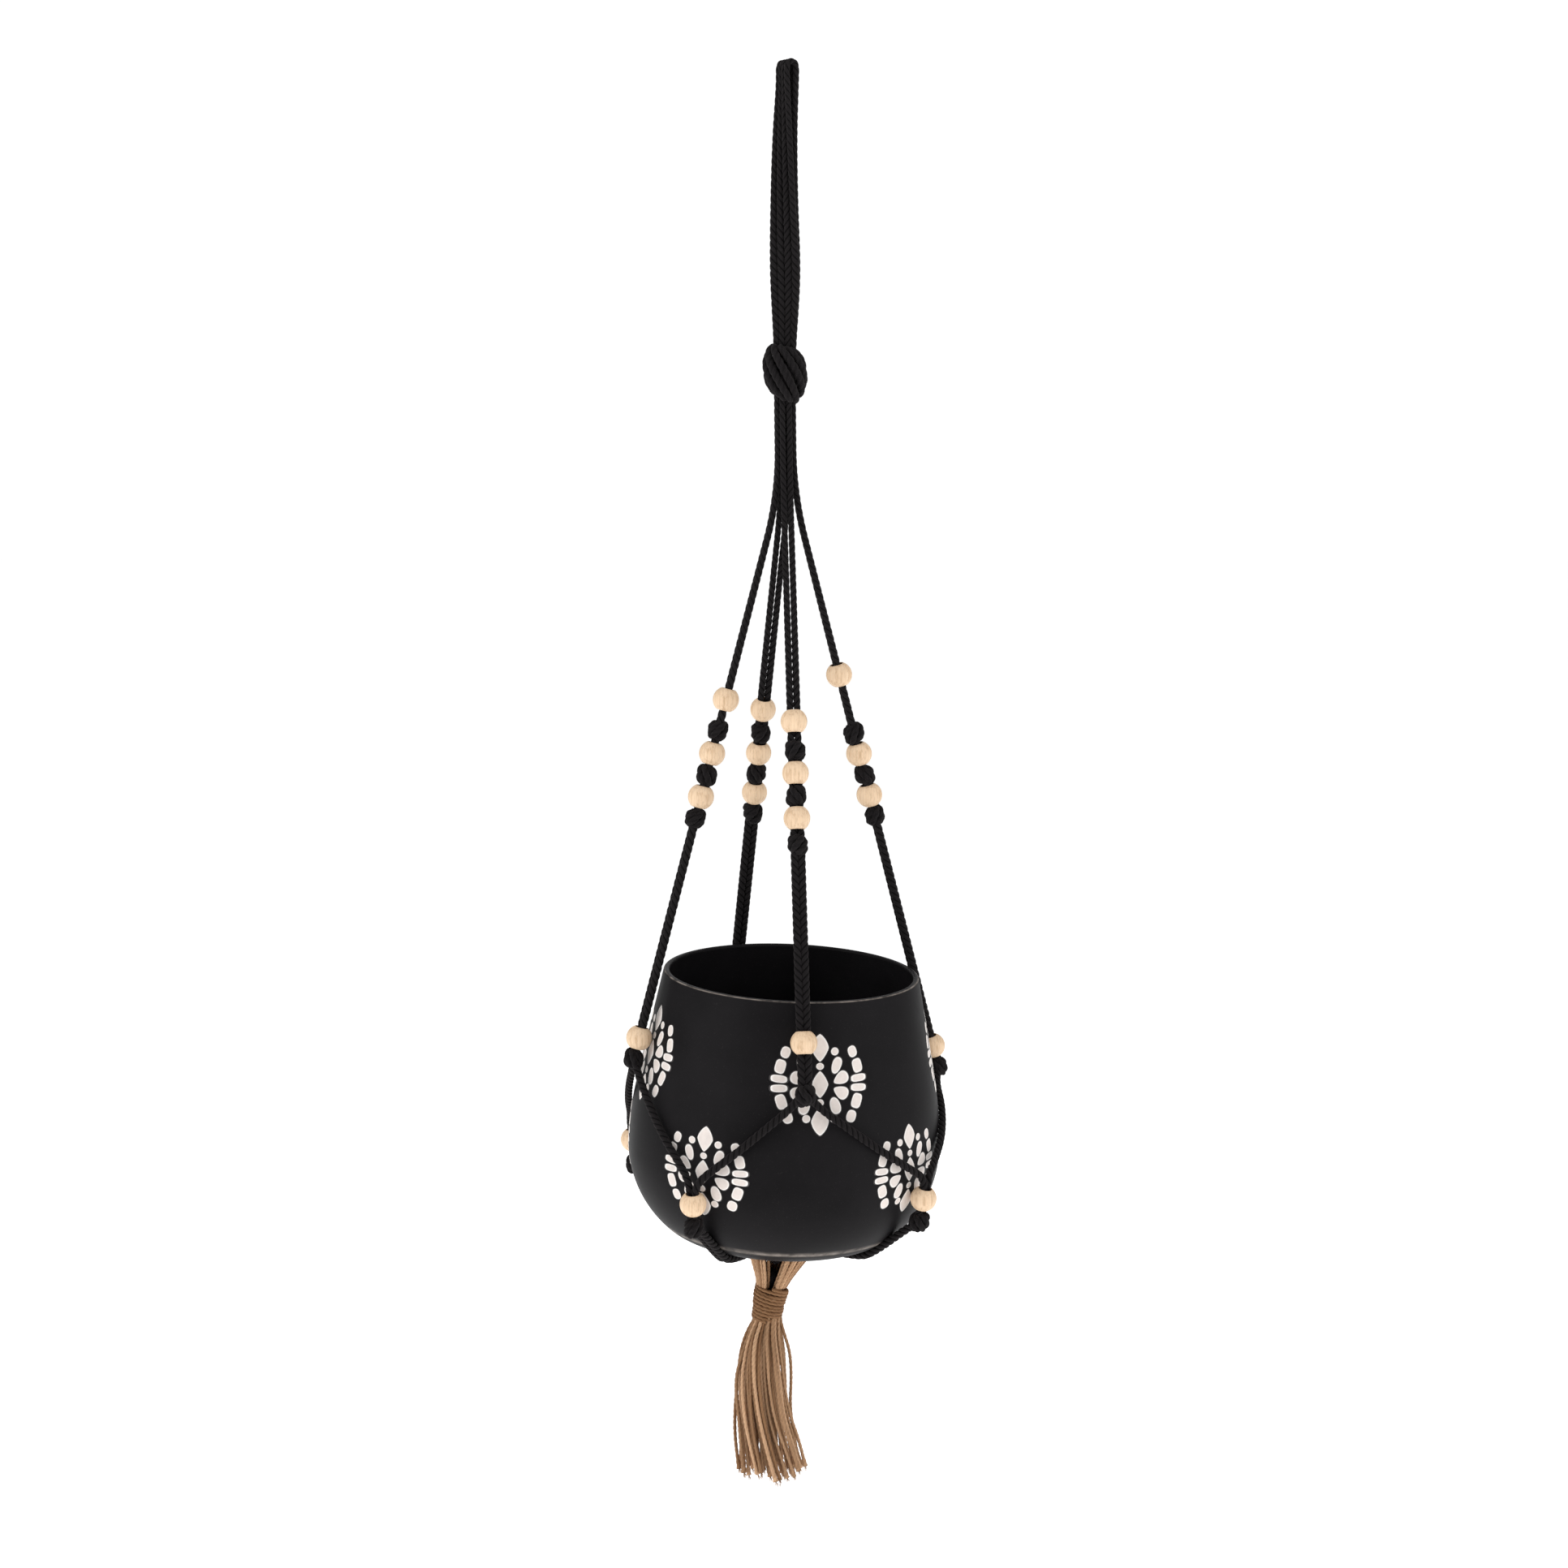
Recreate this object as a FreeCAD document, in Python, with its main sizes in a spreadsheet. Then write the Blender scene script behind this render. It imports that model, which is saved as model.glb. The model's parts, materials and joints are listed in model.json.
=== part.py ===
"""Hanging macrame planter: four folded cords, wooden beads, a turned pot and a jute tassel.

Frame: origin where a hook bears inside the top of the hanging loop, +Z up,
-Y the front of the planter, +X its right. Azimuths are measured round +Z from
the front, positive towards +X. Millimetres and degrees throughout.
"""
import FreeCAD, Part
import Sketcher
import math
import os
from FreeCAD import Placement, Rotation, Vector

os.makedirs("parts", exist_ok=True)
doc = FreeCAD.newDocument("planter")

# ---------------------------------------------------------------- driving sizes
SIZES = {
    # cord and the pair of strands that every leg is made of
    "cord_dia": 3.4,
    "pair_pitch": 3.5,
    # turned wooden beads
    "bead_dia": 15.0,
    "bead_length": 12.6,
    "bead_bore": 7.1,
    "bead_chamfer": 0.4,
    # knots in the doubled cord, and the big knot that ties all eight strands
    "knot_dia": 12.0,
    "knot_height": 11.4,
    "knot_neck": 8.4,
    "main_knot_dia": 24.6,
    "main_knot_height": 31.0,
    "main_knot_neck": 15.5,
    "main_knot_x": -1.4,
    "main_knot_z": -169.3,
    # pot: straight flared wall, belly and rounded foot
    "rim_radius": 74.0,
    "belly_radius": 91.0,
    "belly_depth": 103.0,
    "pot_height": 157.0,
    "wall_flare": 11.4,
    "lower_curve": 62.0,
    "foot_curve": 30.0,
    "wall": 3.5,
    "floor": 5.0,
    "lip_round": 1.4,
    "rim_x": 2.4,
    "rim_z": -514.0,
    "lean_right": 2.4,
    "lean_front": 1.4,
    # legs: where they leave the bundle and where they pass outside the rim
    "split_x": -0.7,
    "split_z": -238.0,
    "split_radius": 4.35,
    "pass_depth": 40.0,
    "rim_knot_drop": 12.6,
    # lower beads and knots, in the pot's own frame
    "low_bead_radius": 97.7,
    "low_bead_depth": 116.0,
    "low_bead_lean": 8.0,
    "low_knot_drop": 14.0,
    # tassel
    "pivot_x": -10.3,
    "pivot_y": 3.2,
    "pivot_z": -698.5,
    "base_knot_dia": 10.0,
    "head_top_radius": 19.5,
    "head_mid_radius": 15.5,
    "head_end_radius": 10.5,
    "socket_radius": 5.4,
    "head_gap": 2.5,
    "wrap_radius": 9.3,
    "wrap_height": 24.0,
    "neck_radius": 8.0,
    "neck_bore": 6.0,
    "skirt_length": 97.0,
    "skirt_end_radius": 21.0,
    "tail_length": 18.0,
}

sheet = doc.addObject("Spreadsheet::Sheet", "sizes")
for row, (name, number) in enumerate(SIZES.items(), start=1):
    sheet.set("A%d" % row, name)
    sheet.set("B%d" % row, str(number))
    sheet.setAlias("B%d" % row, name)
doc.recompute()


def size(name):
    """A driving dimension, read back from the spreadsheet."""
    return float(sheet.get(name))


# Each leg: azimuth in the bundle, azimuth at the rim, how far out its straight
# line passes the rim, how much lower than the others it passes, how far up its
# line from the pass point the rim bead sits, and the heights of its three
# beads and three knots.
LEGS = {
    "left": dict(bundle=-83, rim=-73, reach=89.9, sink=-3.5, lift=0.0,
                 beads=(-354.0, -384.6, -409.3), knots=(-371.4, -396.9, -421.5)),
    "front": dict(bundle=6, rim=5.5, reach=91.3, sink=-4.5, lift=16.2,
                  beads=(-363.0, -391.2, -415.7), knots=(-378.9, -403.4, -429.8)),
    "right": dict(bundle=97, rim=111.5, reach=92.5, sink=9.5, lift=0.0,
                  beads=(-342.0, -388.6, -413.1), knots=(-376.3, -400.8, -425.3)),
    "back": dict(bundle=187, rim=202, reach=90.4, sink=0.0, lift=0.0,
                 beads=(-365.2, -391.8, -416.3), knots=(-379.5, -404.0, -428.5)),
}

# Lower beads: azimuth, and the legs whose strands meet there. The first leg
# gives its plus strand and the second its minus strand.
LOWER = {
    "front_left": (-31, "left", "front"),
    "front_right": (55, "front", "right"),
    "back_right": (153, "right", "back"),
    "back_left": (247, "back", "left"),
}

# Eight strands between hook and main knot, four cords stacked side by side:
# height, centre x, turn of the stack, pitch of the stack, half gap of a cord's
# two sides.
BUNDLE = [
    (-10.0, 0.0, 25.0, 3.6, 2.7),
    (-38.0, -1.5, 48.0, 3.6, 2.0),
    (-75.0, -1.8, 68.0, 3.9, 1.9),
    (-112.0, -1.2, 83.0, 4.3, 2.0),
    (-138.0, -1.2, 86.0, 4.0, 1.9),
    (-153.0, -1.4, 86.0, 3.6, 1.8),
]
FOLD_RADIUS = 3.0
KNOT_EXIT_Z = -186.0

# A strand's run over the pot's wall, from rim knot to lower bead, in the pot's
# frame: share of the way round, radius, height.
DIAGONAL = [
    (0.12, 91.6, -60.5),
    (0.34, 91.8, -71.5),
    (0.60, 93.4, -85.0),
    (0.84, 95.7, -96.5),
]
# The last two points before the bead: height above its centre, sideways from
# its axis, and how far in towards the wall.
INTO_BEAD = [(14.5, 4.2, 1.5), (8.5, 1.75, 0.0)]

# A pair's run under the pot, from lower knot to the gathering: radius, height.
UNDER_POT = [
    (86.5, -139.4),
    (70.3, -153.7),
    (59.0, -159.7),
    (18.0, -160.5),
    (9.0, -166.0),
    (6.0, -174.0),
]

# How the strands leave the four folded cords: cord, place in the stack, the
# strand on the fold's first side and the strand on its second side.
CORDS = {
    "cord_left": (1.5, ("left", 1), ("left", -1)),
    "cord_middle_left": (0.5, ("front", -1), ("back", 1)),
    "cord_middle_right": (-0.5, ("front", 1), ("back", -1)),
    "cord_right": (-1.5, ("right", -1), ("right", 1)),
}

# ---------------------------------------------------------------- frames
lean_right = math.radians(size("lean_right"))
lean_front = math.radians(size("lean_front"))
POT_ORIGIN = Vector(size("rim_x"), 0, size("rim_z"))
POT_UP = Vector(math.sin(lean_right), -math.sin(lean_front), 1.0).normalize()
POT_RIGHT = Vector(0, 1, 0).cross(POT_UP).normalize()
POT_BACK = POT_UP.cross(POT_RIGHT)
POT_PLACEMENT = Placement(POT_ORIGIN, Rotation(POT_RIGHT, POT_BACK, POT_UP, "ZXY"))


def outward(azimuth):
    """Unit vector of an azimuth, level with the ground."""
    turn = math.radians(azimuth)
    return Vector(math.sin(turn), -math.cos(turn), 0)


def sideways(azimuth):
    """Unit vector towards growing azimuth, level with the ground."""
    turn = math.radians(azimuth)
    return Vector(math.cos(turn), math.sin(turn), 0)


def leaned(level):
    """A direction of the upright pot, turned into the leaning pot's frame."""
    return POT_RIGHT * level.x + POT_BACK * level.y + POT_UP * level.z


def pot_point(azimuth, radius, height):
    """A point in the leaning pot's own cylindrical frame."""
    return POT_ORIGIN + leaned(outward(azimuth)) * radius + POT_UP * height


def along(direction):
    """The rotation that turns +Z to a direction."""
    return Rotation(Vector(0, 0, 1), direction)


class Leg:
    """One leg: a straight doubled cord from the bundle to its rim knot."""

    def __init__(self, name):
        facts = LEGS[name]
        self.facts = facts
        self.split = outward(facts["bundle"]) * size("split_radius")
        self.split += Vector(size("split_x"), 0, size("split_z"))
        depth = size("pass_depth") + facts["sink"]
        self.passing = pot_point(facts["rim"], facts["reach"], -depth)
        self.down = (self.passing - self.split).normalize()
        self.rim_knot = self.passing + self.down * size("rim_knot_drop")
        self.rim_bead = self.passing - self.down * facts["lift"]

    def at_height(self, height):
        """The point of the leg's centre line at a height."""
        return self.split + self.down * ((height - self.split.z) / self.down.z)


class LowerNode:
    """A bead and the knot beneath it, where two strands meet on the pot's wall."""

    def __init__(self, name):
        self.azimuth = LOWER[name][0]
        lean = math.radians(size("low_bead_lean"))
        self.bead = pot_point(self.azimuth, size("low_bead_radius"), -size("low_bead_depth"))
        self.out = leaned(outward(self.azimuth))
        self.side = leaned(sideways(self.azimuth))
        self.up = self.out * math.sin(lean) + POT_UP * math.cos(lean)
        self.knot = self.bead - self.up * size("low_knot_drop")


legs = {name: Leg(name) for name in LEGS}
lower = {name: LowerNode(name) for name in LOWER}


# ---------------------------------------------------------------- cord routes
def bundle_points(stack, side):
    """A strand's points from the fold down to the main knot."""
    points = []
    for height, centre, turn, pitch, gap in BUNDLE:
        angle = math.radians(turn)
        across = Vector(math.cos(angle), math.sin(angle), 0)
        stacked = Vector(-math.sin(angle), math.cos(angle), 0)
        points.append(Vector(centre, 0, height) + stacked * (stack * pitch) + across * (side * gap))
    return points


def lower_node_of(leg, sign):
    """The lower node that a leg's plus or minus strand runs to."""
    for name, (azimuth, plus_leg, minus_leg) in LOWER.items():
        if (sign > 0 and plus_leg == leg) or (sign < 0 and minus_leg == leg):
            return name
    raise ValueError("no lower node for leg " + leg)


def strand_points(name, sign):
    """A strand's points from below the main knot to the gathering under the pot."""
    leg = legs[name]
    facts = leg.facts
    half = size("pair_pitch") / 2
    bundle_side = sideways(facts["bundle"]) * (sign * half)
    rim_side = leaned(sideways(facts["rim"])) * (sign * half)
    knot_exit = outward(facts["bundle"]) * size("split_radius")
    knot_exit += Vector(size("main_knot_x"), 0, KNOT_EXIT_Z)
    points = [knot_exit + bundle_side, leg.split + bundle_side, leg.rim_knot + rim_side]
    node = lower[lower_node_of(name, sign)]
    way_round = (node.azimuth - facts["rim"] + 180) % 360 - 180
    for share, radius, height in DIAGONAL:
        sunk = height - facts["sink"] * (1 - share)
        points.append(pot_point(facts["rim"] + way_round * share, radius, sunk))
    for height, beside, inward in INTO_BEAD:
        points.append(node.bead + node.up * height - node.side * (sign * beside) - node.out * inward)
    points.append(node.knot - node.side * (sign * half))
    for radius, height in UNDER_POT:
        points.append(pot_point(node.azimuth, radius, height) - node.side * (sign * half))
    return points


def fold_points(stack):
    """The three points that carry a cord over the hook."""
    height, centre, turn, pitch, gap = BUNDLE[0]
    angle = math.radians(turn)
    across = Vector(math.cos(angle), math.sin(angle), 0)
    stacked = Vector(-math.sin(angle), math.cos(angle), 0) * (stack * pitch)
    crown = FOLD_RADIUS * 2 / math.sqrt(3)
    # the inside of the fold's highest arc touches the hook at z = 0
    arc_top = crown - 0.9 * FOLD_RADIUS * (2 / math.sqrt(3) - 1)
    centre_point = Vector(centre, 0, size("cord_dia") / 2 - arc_top) + stacked
    shoulder = Vector(0, 0, crown / 2)
    return [
        centre_point - across * FOLD_RADIUS + shoulder,
        centre_point + Vector(0, 0, crown),
        centre_point + across * FOLD_RADIUS + shoulder,
    ]


def cord_route(name):
    """All the points of one folded cord, from gathering to gathering."""
    stack, first, second = CORDS[name]
    down_first = bundle_points(stack, -1) + strand_points(*first)
    down_second = bundle_points(stack, 1) + strand_points(*second)
    return down_first[::-1] + fold_points(stack) + down_second


def rounded_wire(points):
    """Straight runs joined by tangent arcs, and the smallest arc radius."""
    edges = []
    radii = []
    start = points[0]
    for before, corner, after in zip(points, points[1:], points[2:]):
        back = before - corner
        ahead = after - corner
        half_turn = (math.pi - back.getAngle(ahead)) / 2
        reach = 0.45 * min(back.Length, ahead.Length)
        radius = reach / math.tan(half_turn)
        entry = corner + back.normalize() * reach
        leave = corner + ahead.normalize() * reach
        towards_centre = (back + ahead).normalize()
        middle = corner + towards_centre * (radius / math.cos(half_turn) - radius)
        edges.append(Part.LineSegment(start, entry).toShape())
        edges.append(Part.Arc(entry, middle, leave).toShape())
        radii.append(radius)
        start = leave
    edges.append(Part.LineSegment(start, points[-1]).toShape())
    return Part.Wire(edges), min(radii)


def make_cord(name):
    """A cord as one tube swept along its rounded route."""
    wire, smallest = rounded_wire(cord_route(name))
    points = cord_route(name)
    radius = size("cord_dia") / 2
    circle = Part.Circle(points[0], points[1] - points[0], radius)
    profile = Part.Wire([circle.toShape()])
    feature = doc.addObject("Part::Feature", name)
    feature.Label = name
    feature.Shape = wire.makePipeShell([profile], True, False)
    feature.Placement = Placement()
    expected = math.pi * radius ** 2 * wire.Length
    volume = feature.Shape.Volume
    if abs(volume / expected - 1) > 0.01:
        raise ValueError("%s: volume %.0f, expected %.0f" % (name, volume, expected))
    print("%s: length %.0f mm, smallest arc %.1f mm" % (name, wire.Length, smallest))
    return feature


# ---------------------------------------------------------------- turned pieces
def origin_plane(body, role):
    """One of a body's own origin planes."""
    for feature in body.Origin.OriginFeatures:
        if feature.Role == role:
            return feature
    raise ValueError("no plane " + role)


def turned_body(label, outline, bindings):
    """A body of revolution about its own Z axis.

    outline is a closed list of (radius, height) points, each with the middle of
    the arc that leads to the next point, or None for a straight side. bindings
    are (point, direction, expression) triples that tie points to the sheet.
    """
    body = doc.addObject("PartDesign::Body", label)
    body.Label = label
    sketch = body.newObject("Sketcher::SketchObject", label + "_outline")
    sketch.AttachmentSupport = [(origin_plane(body, "XZ_Plane"), "")]
    sketch.MapMode = "FlatFace"
    count = len(outline)
    for index, (radius, height, middle) in enumerate(outline):
        start = Vector(radius, height, 0)
        end = Vector(outline[(index + 1) % count][0], outline[(index + 1) % count][1], 0)
        if middle is None:
            sketch.addGeometry(Part.LineSegment(start, end))
        else:
            sketch.addGeometry(Part.Arc(start, Vector(middle[0], middle[1], 0), end))
    first_point = []
    last_point = []
    for index, (radius, height, middle) in enumerate(outline):
        start = Vector(radius, height, 0)
        forward = sketch.getPoint(index, 1).distanceToPoint(start) < 1e-6
        first_point.append(1 if forward else 2)
        last_point.append(2 if forward else 1)
    for index in range(count):
        following = (index + 1) % count
        sketch.addConstraint(
            Sketcher.Constraint("Coincident", index, last_point[index], following, first_point[following])
        )
    for number, (point, direction, expression) in enumerate(bindings):
        value = outline[point][0 if direction == "DistanceX" else 1]
        constraint = sketch.addConstraint(
            Sketcher.Constraint(direction, -1, 1, point, first_point[point], value)
        )
        name = "%s_size_%d" % (label, number)
        sketch.renameConstraint(constraint, name)
        sketch.setExpression("Constraints." + name, expression)
    turning = body.newObject("PartDesign::Revolution", label + "_turning")
    turning.Profile = sketch
    turning.ReferenceAxis = (sketch, ["V_Axis"])
    turning.Angle = 360
    sketch.Visibility = False
    doc.recompute()
    return body


def arc_middle(centre, radius, start, end):
    """The middle of an arc given its centre and end angles in degrees."""
    angle = math.radians((start + end) / 2)
    return (centre[0] + radius * math.cos(angle), centre[1] + radius * math.sin(angle))


def make_bead(label, centre, direction):
    """A round bead with flat, eased ends and a bore for two strands."""
    radius = size("bead_dia") / 2
    half = size("bead_length") / 2
    bore = size("bead_bore") / 2
    ease = size("bead_chamfer")
    flat = math.sqrt(radius ** 2 - half ** 2)
    outline = [
        (bore, -half + ease, None),
        (bore + ease, -half, None),
        (flat, -half, (radius, 0)),
        (flat, half, None),
        (bore + ease, half, None),
        (bore, half - ease, None),
    ]
    body = turned_body(label, outline, [
        (0, "DistanceX", "sizes.bead_bore / 2"),
        (2, "DistanceY", "-sizes.bead_length / 2"),
        (3, "DistanceY", "sizes.bead_length / 2"),
        (5, "DistanceX", "sizes.bead_bore / 2"),
    ])
    body.Placement = Placement(centre, along(direction))
    return body


def make_knot(label, centre, direction, prefix="knot"):
    """A knot's outer shape: a barrel along the cords that it ties."""
    radius = size(prefix + "_dia") / 2
    half = size(prefix + "_height") / 2
    neck = size(prefix + "_neck") / 2
    outline = [
        (0, -half, None),
        (neck, -half, (radius, 0)),
        (neck, half, None),
        (0, half, None),
    ]
    body = turned_body(label, outline, [
        (1, "DistanceX", "sizes.%s_neck / 2" % prefix),
        (1, "DistanceY", "-sizes.%s_height / 2" % prefix),
        (2, "DistanceX", "sizes.%s_neck / 2" % prefix),
        (2, "DistanceY", "sizes.%s_height / 2" % prefix),
    ])
    body.Placement = Placement(centre, along(direction))
    return body


def pot_wall(offset):
    """The pot's outer profile moved in by an offset, from rim to foot.

    A straight flared wall, a wide arc down to the belly, then the lower curve
    and the foot curve, each tangent to the next.
    """
    flare = math.radians(size("wall_flare"))
    belly = size("belly_radius")
    depth = size("belly_depth")
    lower_curve = size("lower_curve")
    foot_curve = size("foot_curve")
    lean = math.tan(flare)
    upper_curve = (belly - size("rim_radius") - lean * depth) / (1 - math.cos(flare) - lean * math.sin(flare))
    sweep = math.asin((size("pot_height") - depth - foot_curve) / (lower_curve - foot_curve))
    upper_centre = (belly - upper_curve, -depth)
    lower_centre = (belly - lower_curve, -depth)
    foot_centre = (
        lower_centre[0] + (lower_curve - foot_curve) * math.cos(sweep),
        -depth - (lower_curve - foot_curve) * math.sin(sweep),
    )
    radii = (upper_curve - offset, lower_curve - offset, foot_curve - offset)
    sweep_deg = math.degrees(sweep)
    flare_deg = size("wall_flare")

    def on(centre, radius, degrees):
        angle = math.radians(degrees)
        return (centre[0] + radius * math.cos(angle), centre[1] + radius * math.sin(angle))

    return {
        "rim": (size("rim_radius") - offset / math.cos(flare), 0.0),
        "shoulder": on(upper_centre, radii[0], flare_deg),
        "upper_middle": arc_middle(upper_centre, radii[0], flare_deg, 0),
        "belly": on(upper_centre, radii[0], 0),
        "lower_middle": arc_middle(lower_centre, radii[1], 0, -sweep_deg),
        "turn": on(lower_centre, radii[1], -sweep_deg),
        "foot_middle": arc_middle(foot_centre, radii[2], -sweep_deg, -90),
        "foot": on(foot_centre, radii[2], -90),
        "foot_centre": foot_centre,
        "foot_radius": radii[2],
        "sweep": sweep_deg,
    }


def make_pot():
    """The pot: an open vessel of even wall with a flat foot and a rounded lip."""
    outer = pot_wall(0)
    inner = pot_wall(size("wall"))
    floor = -size("pot_height") + size("floor")
    # the inner foot curve ends where it meets the floor
    centre = inner["foot_centre"]
    reach = math.degrees(math.asin((centre[1] - floor) / inner["foot_radius"]))
    floor_edge = (centre[0] + inner["foot_radius"] * math.cos(math.radians(reach)), floor)
    inner_foot_middle = arc_middle(centre, inner["foot_radius"], -inner["sweep"], -reach)
    outline = [
        outer["rim"] + (None,),
        outer["shoulder"] + (outer["upper_middle"],),
        outer["belly"] + (outer["lower_middle"],),
        outer["turn"] + (outer["foot_middle"],),
        outer["foot"] + (None,),
        (0, -size("pot_height"), None),
        (0, floor, None),
        floor_edge + (inner_foot_middle,),
        inner["turn"] + (inner["lower_middle"],),
        inner["belly"] + (inner["upper_middle"],),
        inner["shoulder"] + (None,),
        inner["rim"] + (None,),
    ]
    body = turned_body("pot", outline, [
        (0, "DistanceX", "sizes.rim_radius"),
        (2, "DistanceX", "sizes.belly_radius"),
        (2, "DistanceY", "-sizes.belly_depth"),
        (4, "DistanceY", "-sizes.pot_height"),
        (5, "DistanceY", "-sizes.pot_height"),
        (6, "DistanceY", "-sizes.pot_height + sizes.floor"),
    ])
    lip_edges = []
    for number, edge in enumerate(body.Tip.Shape.Edges, start=1):
        if len(edge.Vertexes) == 1 and abs(edge.CenterOfMass.z) < 0.01:
            lip_edges.append("Edge%d" % number)
    turning = body.Tip
    lip = body.newObject("PartDesign::Fillet", "pot_lip")
    lip.Base = (turning, lip_edges)
    lip.Radius = size("lip_round")
    lip.setExpression("Radius", "sizes.lip_round")
    body.Tip = lip
    doc.recompute()
    body.Placement = POT_PLACEMENT
    return body


# ---------------------------------------------------------------- tassel
PIVOT = Vector(size("pivot_x"), size("pivot_y"), size("pivot_z"))


def make_head():
    """The flared head of the tassel's yarns, tied over the gathered cords."""
    top = pot_point(0, 0, -size("pot_height"))
    top.z -= 4.6
    end = PIVOT + Vector(0, 0, size("head_gap"))
    middle = top * 0.45 + end * 0.55
    rings = []
    for centre, radius in (
        (top, size("head_top_radius")),
        (middle, size("head_mid_radius")),
        (end, size("head_end_radius")),
    ):
        rings.append(Part.Wire([Part.Circle(centre, Vector(0, 0, 1), radius).toShape()]))
    cone = Part.makeLoft(rings, True, False)
    socket = Part.makeSphere(size("socket_radius"), PIVOT)
    feature = doc.addObject("Part::Feature", "tassel_head")
    feature.Label = "tassel_head"
    feature.Shape = cone.cut(socket)
    feature.Placement = Placement()
    return feature


def make_base_knot():
    """The small round knot on which the tassel swings."""
    ball = doc.addObject("Part::Sphere", "base_knot")
    ball.Label = "base_knot"
    ball.Radius = size("base_knot_dia") / 2
    ball.setExpression("Radius", "sizes.base_knot_dia / 2")
    ball.Placement = Placement(PIVOT, Rotation())
    return ball


def make_wrap():
    """The jute winding that binds the tassel's neck."""
    top = -size("head_gap")
    end = top - size("wrap_height")
    radius = size("wrap_radius")
    inside = size("neck_radius") + 0.1
    outline = [
        (inside, end, None),
        (radius - 0.6, end, None),
        (radius, end + 0.6, None),
        (radius, top - 0.6, None),
        (radius - 0.6, top, None),
        (inside, top, None),
    ]
    body = turned_body("tassel_wrap", outline, [
        (0, "DistanceX", "sizes.neck_radius + 0.1"),
        (2, "DistanceX", "sizes.wrap_radius"),
        (3, "DistanceX", "sizes.wrap_radius"),
        (0, "DistanceY", "-sizes.head_gap - sizes.wrap_height"),
        (5, "DistanceY", "-sizes.head_gap"),
    ])
    body.Placement = Placement(PIVOT, Rotation())
    return body


def make_skirt():
    """The tassel's yarns: a bored neck inside the winding and the hanging skirt."""
    top = -size("head_gap") - 1.0
    neck_end = -size("head_gap") - size("wrap_height") - 0.2
    bore_end = neck_end - 1.0
    bottom = neck_end - size("skirt_length")
    neck = size("neck_radius")
    bore = size("neck_bore")
    end_radius = size("skirt_end_radius")
    outline = [
        (bore, top, None),
        (bore, bore_end, None),
        (0, bore_end, None),
        (0, bottom, None),
        (end_radius, bottom, None),
        (end_radius - 2.2, bottom + 22, None),
        (end_radius - 4.8, bottom + 48, None),
        (end_radius - 5.6, bottom + 72, (end_radius - 8.2, bottom + 84)),
        (neck + 1.6, neck_end, None),
        (neck, neck_end, None),
        (neck, top, None),
    ]
    body = turned_body("tassel_skirt", outline, [
        (0, "DistanceX", "sizes.neck_bore"),
        (4, "DistanceX", "sizes.skirt_end_radius"),
        (10, "DistanceX", "sizes.neck_radius"),
        (10, "DistanceY", "-sizes.head_gap - 1"),
    ])
    body.Placement = Placement(PIVOT, Rotation())
    return body


def make_cord_ends():
    """The eight cord ends inside the tassel's neck, one in the middle and seven round it."""
    top = PIVOT.z - size("base_knot_dia") / 2 - 0.6
    length = size("tail_length")
    radius = size("cord_dia") / 2
    ring = (size("cord_dia") + 0.1) / (2 * math.sin(math.pi / 7))
    places = [Vector(0, 0, 0)]
    for number in range(7):
        places.append(outward(number * 360 / 7) * ring)
    tails = []
    for place in places:
        foot = Vector(PIVOT.x, PIVOT.y, top - length) + place
        tails.append(Part.makeCylinder(radius, length, foot))
    feature = doc.addObject("Part::Feature", "cord_ends")
    feature.Label = "cord_ends"
    feature.Shape = Part.makeCompound(tails)
    feature.Placement = Placement()
    return feature


# ---------------------------------------------------------------- the planter
pieces = []
for cord_name in CORDS:
    pieces.append(make_cord(cord_name))
main_centre = Vector(size("main_knot_x"), 0, size("main_knot_z"))
pieces.append(make_knot("main_knot", main_centre, Vector(0, 0, 1), "main_knot"))
for leg_name, leg in legs.items():
    for number, (bead_z, knot_z) in enumerate(zip(leg.facts["beads"], leg.facts["knots"]), start=1):
        pieces.append(make_bead("%s_bead_%d" % (leg_name, number), leg.at_height(bead_z), -leg.down))
        pieces.append(make_knot("%s_knot_%d" % (leg_name, number), leg.at_height(knot_z), -leg.down))
    pieces.append(make_bead("%s_rim_bead" % leg_name, leg.rim_bead, -leg.down))
    pieces.append(make_knot("%s_rim_knot" % leg_name, leg.rim_knot, -leg.down))
for node_name, node in lower.items():
    pieces.append(make_bead("%s_low_bead" % node_name, node.bead, node.up))
    pieces.append(make_knot("%s_low_knot" % node_name, node.knot, node.up))
pieces.append(make_pot())
pieces.append(make_head())
pieces.append(make_base_knot())
pieces.append(make_wrap())
pieces.append(make_skirt())
pieces.append(make_cord_ends())

doc.recompute()
for item in doc.Objects:
    if "Invalid" in item.State or "Error" in item.State:
        raise ValueError("%s did not recompute: %s" % (item.Name, item.State))
for piece in pieces:
    if piece.Shape.isNull() or not piece.Shape.isValid():
        raise ValueError(piece.Label + " has no valid shape")
for piece in pieces:
    piece.Shape.exportStep("parts/%s.step" % piece.Label)
print("%d nodes" % len(pieces))
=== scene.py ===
"""Hanging macrame planter: cotton cords, wooden beads, an inlaid ceramic pot and a jute tassel.

Metres, with the origin where a hook bears inside the top of the hanging loop,
+Z up, -Y the front of the planter and +X its right. Azimuths are measured
round +Z from the front, positive towards +X.
"""

import json
import math

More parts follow.
